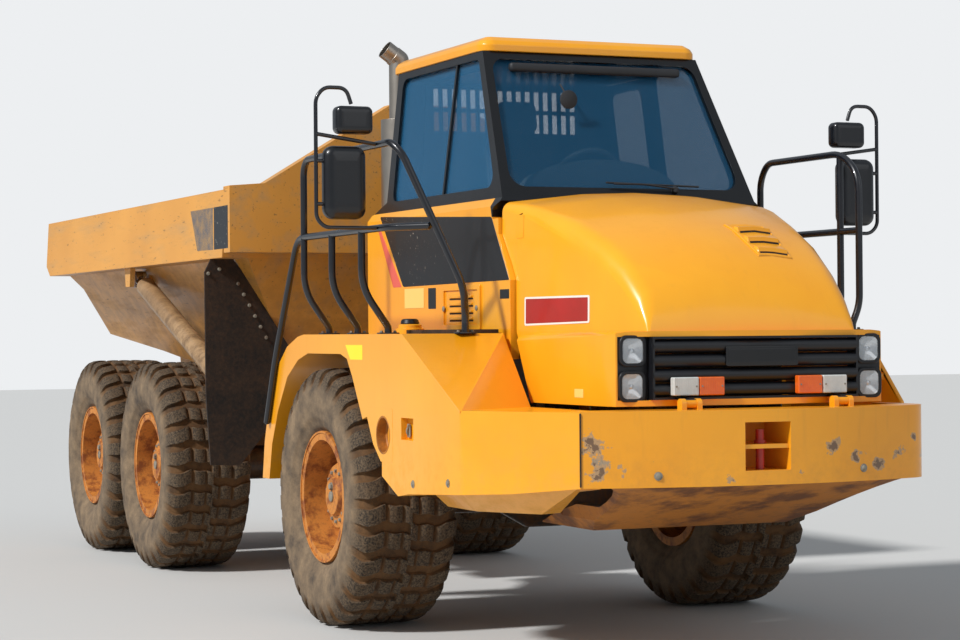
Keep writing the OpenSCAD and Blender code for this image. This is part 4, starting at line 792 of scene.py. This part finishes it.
def louvre_grid(corners, rise):
    """Saw teeth along v, each vane rising to its lip and dropping, inside a raised rim."""
    tooth_at = np.array([.02, .1, .5, .86, .93, .98])
    teeth = [first_root + teeth_span * (k + tooth_at) / vane_count for k in range(vane_count)]
    v = np.concatenate([[0, .03, .06]] + teeth + [[.96, .98, 1]])
    u = np.array([0, .02, .05, .07, .09, .12, .3, .5, .7, .88, .91, .93, .95, .98, 1.])
    v, u = np.meshgrid(v, u, indexing="ij")
    a, b, c, d = (np.array(k) for k in corners)
    flat = sum(share[..., None] * place for share, place in (
        ((1 - v) * (1 - u), a), ((1 - v) * u, b), (v * u, c), (v * (1 - u), d)))
    phase = tooth_phase(v)
    tooth = np.clip(phase / .86, 0, 1) * np.clip((.95 - phase) / .06, 0, 1)
    inside = (u > .08) & (u < .92) & (v > .07) & (v < .95)
    rim = np.clip(np.minimum.reduce([u, 1 - u, v, 1 - v]) / .02, 0, 1)
    height = np.where(inside, .0015 + rise * tooth, rise * .3 * rim)
    z = hood_top(flat[..., 0], flat[..., 1])
    return np.stack([flat[..., 0], flat[..., 1], z + height + .0005], -1)


louvre_corners = [(.128, -2.098), (.418, -2.036), (.392, -2.388), (.172, -2.404)]
louvre = mesh_piece("hood_louvre", [louvre_grid(louvre_corners, .026)], yellow_enamel, "hood",
                    wrap=(False, False), smooth=30, clean=False)
# Second material: dark rubber on each vane's drop face, painted shade where the opening lies.
louvre.data.materials.append(flap_rubber)
corner = louvre_grid([(0, 0), (1, 0), (1, 1), (0, 1)], 0.0)
across, along = np.moveaxis((corner[:-1, :-1] + corner[1:, 1:])[..., :2] / 2, -1, 0)
slot_shade_faces = (tooth_phase(along) > .93) & (across > .12) & (across < .91) & (along > .1) & (
    along < .945)
louvre.data.polygons.foreach_set("material_index", slot_shade_faces.astype(np.int32).ravel())
skirt = louvre.modifiers.new("sheet", "SOLIDIFY")
skirt.thickness, skirt.offset = .004, -1
print("louvre vanes:", vane_count)

# %% [markdown]
# ## Panels and plates on the truck's right side
# Behind the right wheel's rails the cab wears a broad black band with a red end, cut from vinyl.
# Below it are a slotted door over the air intake, its slots painted as dark strips of shade, a
# blank pale panel and small blank labels. The fender has a sticker and the dump body two dark
# patches.
# None of them carries words. Then come the deck's grip strip, the bumper's seam, the fittings of
# the locker, and screws and latches.

# %% Side panels


def quad_plate(corners, thick, radius=.01, edge=.0008, rings=4):
    """A plate between four corners, told clockwise from the top left as seen from outside: the
    rounded outline (a, b) in a unit square goes to the bilinear mix of the corners."""
    p = np.array(corners, float)
    across, down = p[1] - p[0], p[3] - p[0]
    wide, high = np.linalg.norm(across), np.linalg.norm(down)
    n = np.cross(down, across)
    n /= np.linalg.norm(n)
    flat, out = rounded_outline(wide / 2, high / 2, radius)
    s = np.linspace(0, 1, rings)[:, None, None]
    rows = np.concatenate([s * (flat - edge * out), flat[None], 0 * flat[None]])
    depth = np.concatenate([np.full((rings, 1, 1), thick), np.zeros((2, 1, 1))])
    a, b = rows[..., :1] / wide + .5, .5 - rows[..., 1:] / high
    return (1 - b) * ((1 - a) * p[0] + a * p[1]) + b * ((1 - a) * p[3] + a * p[2]) + depth * n


cab_side, body_side = -.8503, -1.4501
for name, x, thick, radius, skin, node, corners in (
        ("band_black", cab_side, .0008, .02, black_vinyl, "cab_lower",
         [(.565, 2.484), (-1.19, 2.402), (-1.43, 2.04), (.175, 2.033)]),
        ("band_red", cab_side, .0008, .004, red_vinyl, "cab_lower",
         [(.60, 2.40), (.555, 2.40), (.20, 2.033), (.345, 2.033)]),
        ("panel_pale", cab_side - .0009, .0008, .004, pale_vinyl, "cab_lower",
         [(.15, 2.02), (-.165, 2.02), (-.165, 1.9), (.15, 1.9)]),
        ("labels_black", cab_side, .0012, .004, black_vinyl, "cab_lower",
         [(-.235, 2.018), (-.355, 2.018), (-.355, 1.893), (-.235, 1.893)]),
        ("cheek_label", cab_side, .0012, .004, black_vinyl, "cab_lower",
         [(-1.30, 1.99), (-1.425, 1.99), (-1.425, 1.937), (-1.30, 1.937)]),
        ("fender_sticker", body_side, .0008, .003, fluorescent_vinyl, "fender_right",
         [(-.42, 1.683), (-.70, 1.683), (-.70, 1.598), (-.50, 1.598)]),
        ("body_patch_grey", body_side, .0008, .003, grey_vinyl, "dump_body",
         [(2.74, 2.62), (2.20, 2.62), (2.20, 2.33), (2.58, 2.335)]),
        ("body_patch_dark", body_side, .0008, .003, black_vinyl, "dump_body",
         [(2.18, 2.62), (1.86, 2.62), (1.86, 2.33), (2.18, 2.33)])):
    mesh_piece(name, [quad_plate([(x, *corner) for corner in corners], thick, radius)], skin, node)

vent_y, vent_z = -.75, 1.895
vent = (cab_side, vent_y, vent_z)
mesh_piece("vent_door", [plate(vent, right_side, (.504, .204), .006, .003, .001)] + [
    plate((cab_side - .003, vent_y, vent_z + dz), right_side, (.33, .017), .007, .009, .004)
    for dz in (-.063, -.021, .021, .063)], yellow_enamel, "cab_lower")
mesh_piece("vent_frame", [frame_ring(vent, right_side, (.575, .262), .012, (.5, .2), .008, .012,
                                     .002)], yellow_enamel, "cab_lower", wrap=closed)
# Dark strips between the door's slats: painted shade in the slots.
mesh_piece("vent_slot_shade", [
    plate((cab_side - .0031, vent_y, vent_z + dz), right_side, (.35, .010), .004, .0012, .0005)
    for dz in (-.076, -.034, .008, .050)], flap_rubber, "cab_lower")
deck = 1.7456
mesh_piece("deck_grip", [plate((-1.0, -.95, deck), skyward, (.26, .76), .012, .022, .002,
                               up=ahead)], flap_rubber, "fender_right")
mesh_piece("bumper_seam", [plate((-1.0605, -2.7525, 1.157), (-.5, -.866, 0), (.009, .37), .003,
                                 .003, .001)], flap_rubber, "bumper")

# Turned fittings: latches, the coolant tank's cap and knob, and screws on locker and bumper
dish_y, dish_z, dish_r = -1.024, 1.18, .1
cap_x, cap_y = -1.06, -.46
for name, skin, node, segments, profile, spots in (
        ("vent_latches", nut_steel, "cab_lower", 20,
         [[0, 0], [.016, 0], [.016, .004], [.009, .008], [0, .009]],
         [((cab_side - .012, vent_y + dy, 1.89), right_side) for dy in (-.245, .245)]),
        ("filler_cap", yellow_enamel, "fender_right", 40,
         [[0, 0], [.085, 0], [.085, .03], [.07, .034], [.07, .05], [.062, .056], [0, .056]],
         [((cap_x, cap_y, 1.7455), skyward)]),
        ("filler_knob", grille_plastic, "fender_right", 24,
         [[0, 0], [.052, 0], [.056, .006], [.05, .026], [.04, .032], [0, .033]],
         [((cap_x, cap_y, 1.801), skyward)]),
        ("skin_screws", nut_steel, "bumper", 20,
         [[0, 0], [.022, 0], [.022, .003], [.014, .0045], [.013, .009], [.008, .011], [0, .0112]],
         [((-1.4502, y, z), right_side) for y, z in ((-1.472, .93), (-1.967, .962))] +
         [((x, -2.95 + .2 * (x / 1.06) ** 2 - .0003, z), (.36 * x, -1, 0))
          for x, z in ((-.684, 1.023), (.496, 1.032))]),
        ("filler_cup", scoured_plate, "fender_right", 48,
         [[0, -.055], [.09, -.055], [.097, -.048], [.097, .005], [.106, .0065], [.108, .0045],
          [.1, .0035], [.0995, -.05], [.092, -.058], [0, -.058]],
         [((-1.4465, dish_y, dish_z), right_side)]),
        ("filler_tap", red_enamel, "fender_right", 20,
         [[0, -.003], [.022, -.003], [.022, .014], [.016, .02], [0, .021]],
         [((-1.392, dish_y - .045, dish_z + .005), right_side)])):
    mesh_piece(name, [lathe(p, axis, profile, segments) for p, axis in spots], skin, node)

# The filler's round recess in the locker's side: a pressed ring closes it towards the wheel arch
edges = np.array([(-.77, 1.275), (-.80, 1.335), (-1.17, 1.335), (-1.17, 1.03), (-.985, 1.03),
                  (-.865, 1.125)])
run = np.roll(edges, -1, 0) - edges
outward = np.stack([run[:, 1], -run[:, 0]], -1)
outward *= np.sign(((edges - [dish_y, dish_z]) * outward).sum(1))[:, None]
a = np.linspace(0, 2 * math.pi, 72, endpoint=False)
ways = np.stack([np.cos(a), np.sin(a)], -1)
along = ways @ outward.T
far = np.where(along > 1e-6, ((edges - [dish_y, dish_z]) * outward).sum(1)
               / np.maximum(along, 1e-6), 9.0).min(1)
ring = [np.concatenate([np.full((72, 1), x), [dish_y, dish_z] + k[:, None] * ways], 1)
        for x, k in ((-1.446, 0 * far + dish_r), (-1.4508, 0 * far + dish_r), (-1.4508, far),
                     (-1.446, far))]
mesh_piece("filler_surround", [np.stack(ring)], yellow_enamel, "fender_right", wrap=closed)
latch = [plate((-1.4185, -1.34, 1.215), right_side, (.045, .075), .008, .004, .0015),
         tube([(-1.424, -1.345, 1.24), (-1.434, -1.34, 1.215), (-1.424, -1.335, 1.19)], .012, .02)]
mesh_piece("fender_latch", latch, nut_steel, "fender_right")
print("side panels and fixings ready")

# %% [markdown]
# ## Handrails and mirrors
# The rails are steel tube, bent cold, so each corner is a curve and not a mitre. They stand on
# small foot plates with two bolts. The mirror heads are blow-moulded shells, rounded all over.

# %% Rails and mirrors
rail_d, mirror_d, front_rail, mirror_y = .042, .0225, -1.3845, -1.0


def bent_tubes(paths, diameter, radius):
    """Tubes along paths given in millimetres."""
    return [tube(np.array(path) / 1000, diameter, radius) for path in paths]


def post(y, top):
    """A rail post that steps out over the fender's edge."""
    return [[-1290, y, 1746], [-1290, y, 1785], [-1450, y, 2010], [-1450, y, top]]


def soft_box(centre, normal, size, radius, edge, up=(0, 0, 1)):
    """A box rounded all over: its outline draws in by edge * (1 - cos a) as the depth turns."""
    flat, out = rounded_outline(size[0] / 2, size[1] / 2, radius)
    a = np.linspace(-math.pi / 2, math.pi / 2, 10)[:, None, None]
    depth = np.sign(a) * (size[2] / 2 - edge) + edge * np.sin(a)
    rows = flat - edge * (1 - np.cos(a)) * out
    s = np.linspace(0, 1, 5)[:-1, None, None]
    rows = np.concatenate([s * rows[:1], rows, s[::-1] * rows[-1:]])
    depth = np.concatenate([0 * s - size[2] / 2, depth, 0 * s + size[2] / 2])
    return lay(centre, axes(normal, up), rows, depth)


f = front_rail * 1000
right_rails = [
    post(300, 2750) + [[-1450, 240, 2810], [-1450, f + 205, 2810], [-1410, f + 135, 2740],
                       [-1130, f - 55, 2000], [-1100, f - 5, 1850], [-1100, f - 5, 1746]],
    post(-200, 2340), post(-700, 2340),
    [[-1471.3, 990, 1180], [-1471.3, 800, 1600], [-1450, 420, 2340], [-1450, f + 285, 2340],
     [-1280, f + 55, 2340]]]
left_rails = [
    [[1400, -230, 1746], [1400, -230, 1785], [1450, -230, 1900], [1450, -230, 2700],
     [1450, -320, 2810], [1450, f + 185, 2810], [1450, f, 2680], [1450, f, 1900],
     [1400, f, 1785], [1400, f, 1746]],
    [[1450, -230, 2340], [1450, f, 2340]],
    [[1400, f + 205, 1746], [1400, f + 205, 1785], [1450, f + 205, 1900], [1450, f + 205, 2810]]]
mesh_piece("rail_tubes", bent_tubes(right_rails + left_rails, rail_d, .11), rail_black,
           "handrails", True)
feet = [(-1.29, .3), (-1.29, -.2), (-1.29, -.7), (-1.1, front_rail - .005), (1.4, -.23),
        (1.4, front_rail), (1.4, front_rail + .205)]
mesh_piece("rail_feet", [plate((x, y, deck), skyward, (.12, .07), .012, .008, up=ahead)
                         for x, y in feet], rail_black, "handrails")
mesh_piece("rail_bolts", [bolt((x + dx, y, 1.7535), skyward, .017, .011, 12)
                          for x, y in feet for dx in (-.042, .042)], nut_steel, "handrails")

frames = [[[s * x, -1000, z] for x, z in ((1471, 2340), (1778, 2340), (1828, 2390), (1828, 3060),
                                          (1778, 3120), (1648, 3120), (1618, 3030))]
          for s in (-1, 1)]
stays = [[[s * 1471, -1000, 2810], [s * 1828, -1000, 2860]] for s in (-1, 1)]
stays += [[[s * 1775, -1000, z], [s * 1828, -1000, z]] for s in (-1, 1) for z in (2470, 2710)]
heads = (((1.665, 2.59), (.25, .41, .11), .06, .05, .0546, (.17, .33)),
         ((1.61, 2.94), (.22, .156, .1), .034, .03, .0496, (.155, .095)))
mesh_piece("mirror_tubes", bent_tubes(frames + stays, mirror_d, .06), rail_black, "mirrors", True)
mesh_piece("mirror_heads", [soft_box((s * x, mirror_y, z), nose, size, radius, edge)
                            for (x, z), size, radius, edge, _, _ in heads for s in (-1, 1)],
           mirror_shell, "mirrors")
mesh_piece("mirror_glasses", [
    plate((s * x, mirror_y + d, z), ahead, size, .025, .0018, .0008)
    for s in (-1, 1) for (x, z), _, _, _, d, size in heads], mirror_metal, "mirrors")
print("rails:", len(right_rails + left_rails), "mirror heads: 4")

# %% [markdown]
# ## The driver's seat
# A suspension seat: a ribbed bellows, a cushion, a tall back and a headrest. Each pad starts as a
# closed rounded form a little small for its place. It is cut in voxels and blown up by a short
# cloth simulation, which crowns it and pulls its sides in between the corners. Channels and welts
# are sewn in afterwards.

# %% Seat
seat_x, cloth_frames, pressure = .03, 20, 4
voxel, cap, growth, pad_radius = .011, .014, .02, .055
channel_deep, channel_wide = .009, .011


def evaluated(piece):
    """The mesh of a piece as its modifiers leave it."""
    return bpy.data.meshes.new_from_object(piece.evaluated_get(
        bpy.context.evaluated_depsgraph_get()))


def points(mesh):
    """The mesh's vertices as an array (count, 3)."""
    flat = np.empty(len(mesh.vertices) * 3)
    mesh.vertices.foreach_get("co", flat)
    return flat.reshape(-1, 3)


def stuffed(name, centre, normal, size, up, channels):
    """A pad: rounded form, voxels, cloth under pressure with no point further than cap from its
    start, then channels sunk across its front, at those heights along up."""
    shrunk = [s - growth for s in size]
    form = soft_box(centre, normal, shrunk, pad_radius, min(.04, shrunk[2] / 2 - .004), up)
    piece = mesh_piece(name, [form], seat_cloth, "seat")
    remesh = piece.modifiers.new("voxels", "REMESH")
    remesh.mode, remesh.voxel_size = "VOXEL", voxel
    started = evaluated(piece)
    piece.modifiers.clear()
    piece.data = started
    rest = points(started)
    cloth = piece.modifiers.new("cloth", "CLOTH")
    cloth.settings.quality = 4
    cloth.settings.use_pressure = True
    cloth.settings.uniform_pressure_force = pressure
    cloth.settings.effector_weights.gravity = 0
    cloth.point_cache.frame_start, cloth.point_cache.frame_end = 1, cloth_frames
    for step in range(1, cloth_frames + 1):
        scene.frame_set(step)
    move = points(evaluated(piece)) - rest
    piece.modifiers.clear()
    reach = np.linalg.norm(move, axis=1, keepdims=True)
    rest = rest + move * np.minimum(1, cap / np.maximum(reach, 1e-9))
    scene.frame_set(1)
    r, u, n = axes(normal, up)
    place = rest - np.array(centre) - [0, front_axle_y, 0]
    height, depth = place @ u, place @ n
    near = np.exp(-((height[:, None] - np.array(channels)[None]) / channel_wide) ** 2).sum(1)
    rest = rest - (channel_deep * near * np.clip(depth / (size[2] / 2), 0, 1))[:, None] * n
    started.vertices.foreach_set("co", rest.ravel())
    started.shade_smooth()
    started.materials.clear()
    started.materials.append(seat_cloth)
    soft = piece.modifiers.new("smooth", "SUBSURF")
    soft.levels = soft.render_levels = 1
    return piece


def welt(centre, normal, size, radius, up, diameter=.008):
    """The sewn cord round a pad: a ring of circles along the rounded outline."""
    flat, out = rounded_outline(size[0] / 2, size[1] / 2, radius)
    a = np.linspace(0, 2 * math.pi, 8, endpoint=False)[:, None, None]
    ring = flat[None] + diameter / 2 * np.cos(a) * out[None]
    return lay(centre, axes(normal, up), ring, diameter / 2 * np.sin(a))


back_up, back_out = (0, .163, .987), (0, -.987, .163)
cushion = stuffed("seat_cushion", (seat_x, .03, 2.262), skyward, (.52, .52, .14), ahead,
                  (-.16, 0.0, .14))
stuffed("seat_back", (seat_x, .342, 2.667), back_out, (.50, .70, .116), back_up,
        (-.2, -.05, .1, .25))
stuffed("seat_headrest", (seat_x, .409, 3.124), back_out, (.30, .23, .09), back_up, (0.0,))
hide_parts("seat")
mesh_piece("seat_welts", [welt((seat_x, .03, 2.30), skyward, (.508, .508), pad_radius, ahead),
                          welt((seat_x, .312, 2.662), back_out, (.488, .688), pad_radius, back_up)],
           cab_plastic, "seat", wrap=closed)
wide, out = rounded_outline(.195, .175, .05)
bellows = np.stack([np.array([seat_x, .12, 1.66 + .0331 * k])
                    + np.concatenate([wide - .012 * (k % 2) * out, 0 * wide[:, :1]], 1)
                    for k in range(17)])
low, high = (bellows[i:i + 1].mean(1, keepdims=True) + 0 * bellows[:1] for i in (0, 16))
mesh_piece("seat_bellows", [np.concatenate([low, bellows, high])], flap_rubber, "seat")
print("seat pads: 3, simulated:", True)

# %% [markdown]
# ## Small parts of the cab and the plates
# The side window has a thin black divider. A wiper rests along the foot of the windscreen, and a
# blind and a round mirror hang inside. The plates here are left blank.

# %% Cab fittings
screen_out = (0, -.867, .498)


def screen_point(x, z, off=0.0):
    """A point on the outer plane of the windscreen, moved off along its normal."""
    return np.array([x, -1.265 + (z - 2.49) * .5746, z]) + off * np.array(screen_out)


def hood_side_point(side, y, z):
    """A point just outside the hood's side, on the plane of its rear upper corner."""
    return [side * (.8032 + .184 * (y + 1.485) - .03 * (z - 2.315)), y, z]


divider = quad_plate([[-.792 + (z - 2.51) * .1209, y, z] for y, z in (
    (-.352, 3.372), (-.376, 3.372), (-.366, 2.57), (-.342, 2.57))], .016, .003, .001)
mesh_piece("window_divider", [divider], black_enamel, "cab_frame")
pivot = [[0, 0], [.022, 0], [.022, .018], [.012, .026], [0, .027]]
mesh_piece("wiper", [
    tube([screen_point(-.10, 2.584, .030), screen_point(.1, 2.580, .036),
          screen_point(.30, 2.566, .02)], .012, .05),
    tube([screen_point(-.14, 2.60, .012), screen_point(.46, 2.585, .012)], .011),
    lathe(screen_point(.30, 2.566, -.002), screen_out, pivot, 20)], cab_plastic, "cab_frame")
mesh_piece("sun_blind", [soft_box((0, -.80, 3.3), skyward, (1.12, .05, .05), .02, .018, ahead)],
           cab_plastic, "cab_frame")
shell = [[0, 0], [.045, 0], [.055, .008], [.055, .014], [.05, .018], [0, .02]]
mesh_piece("inside_mirror", [
    lathe((-.27, -.985, 3.10), nose, shell, 32),
    tube([(-.27, -.985, 3.10), (-.27, -.93, 3.16), (-.27, -.88, 3.20)], .01)],
    cab_plastic, "cab_frame")

sign = np.array([(-.8055, -1.536, 1.943), (-.700, -2.134, 1.944), (-.704, -2.138, 1.796),
                 (-.811, -1.544, 1.784)])
middle = sign.mean(0)
sticker = [(-.8205, -2.19, 1.45), (-.8185, -2.29, 1.45), (-.8185, -2.29, 1.405),
           (-.8205, -2.19, 1.405)]
patches = [quad_plate([hood_side_point(s, y, z) for y, z in ((b, 2.4), (f, 2.4), (f, 2.27),
                                                             (b, 2.27))], .0012, .01)
           for s, b, f in ((-1, -1.44, -1.512), (1, -1.512, -1.44))]
for name, grids, skin in (
        ("hood_plate_rim", [quad_plate(sign, .0022, .012)], white_enamel),
        ("hood_plate", [quad_plate(middle + (sign - middle) * [.955, .955, .86], .0034, .006)],
         red_enamel),
        ("hood_corner_patches", patches, yellow_enamel),
        ("hood_sticker", [quad_plate(sticker, .0008, .003)], pale_vinyl)):
    mesh_piece(name, grids, skin, "hood")
flap_holes = [(1.46, 2.17), (1.38, 2.2)] + [(1.245 - .04 * k, 2.10 - .075 * k) for k in range(6)]
mesh_piece("flap_bolts", [bolt((s * x, 2.2895, z), nose, .022, .012, 12)
                          for s in (-1, 1) for x, z in flap_holes], nut_steel, "mud_flaps")
print("cab fittings ready")

# %% [markdown]
# ## The studio
# A pale floor that runs up into a pale world, one broad key light from the truck's right front,
# where the sun stood, and a soft fill from the other side.

# %% Floor and lights
floor_mesh = bpy.data.meshes.new("floor")
reach = 60.0
floor_mesh.from_pydata([(x * reach, y * reach, 0) for x, y in ((-1, -1), (1, -1), (1, 1), (-1, 1))],
                       [], [(0, 1, 2, 3)])
floor = place("floor", floor_mesh)
floor_mesh.materials.append(Finish("matt_studio_floor", "#C9C8C5", .9).made)

world = scene.world = bpy.data.worlds.new("studio")
world.use_nodes = True
tree = world.node_tree
sky = tree.nodes["Background"]
sky.inputs["Color"].default_value = linear("#D5DEE8")
sky.inputs["Strength"].default_value = .48
seen = tree.nodes.new("ShaderNodeBackground")
seen.inputs["Color"].default_value = linear("#EDEFF1")
seen.inputs["Strength"].default_value = 1.0
path = tree.nodes.new("ShaderNodeLightPath")
direct = tree.nodes.new("ShaderNodeMath")
direct.operation = "MAXIMUM"
pick = tree.nodes.new("ShaderNodeMixShader")
for source, target in (
        (path.outputs["Is Camera Ray"], direct.inputs[0]),
        (path.outputs["Is Transmission Ray"], direct.inputs[1]),
        (direct.outputs[0], pick.inputs[0]), (sky.outputs[0], pick.inputs[1]),
        (seen.outputs[0], pick.inputs[2]),
        (pick.outputs[0], tree.nodes["World Output"].inputs["Surface"])):
    tree.links.new(source, target)


def sun(name, heading, height, strength, width):
    """A sun lamp that comes from a compass heading (0 is straight ahead of the truck)."""
    data = bpy.data.lights.new(name, "SUN")
    data.energy = strength
    data.angle = math.radians(width)
    lamp = place(name, data)
    a, e = math.radians(heading), math.radians(height)
    source = Vector((-math.sin(a) * math.cos(e), -math.cos(a) * math.cos(e), math.sin(e)))
    lamp.rotation_euler = source.to_track_quat("Z", "Y").to_euler()


sun("key", 78, 42, 3.5, 6)
sun("fill", -20, 25, .25, 40)
scene.view_settings.view_transform = "Standard"
print("studio ready")
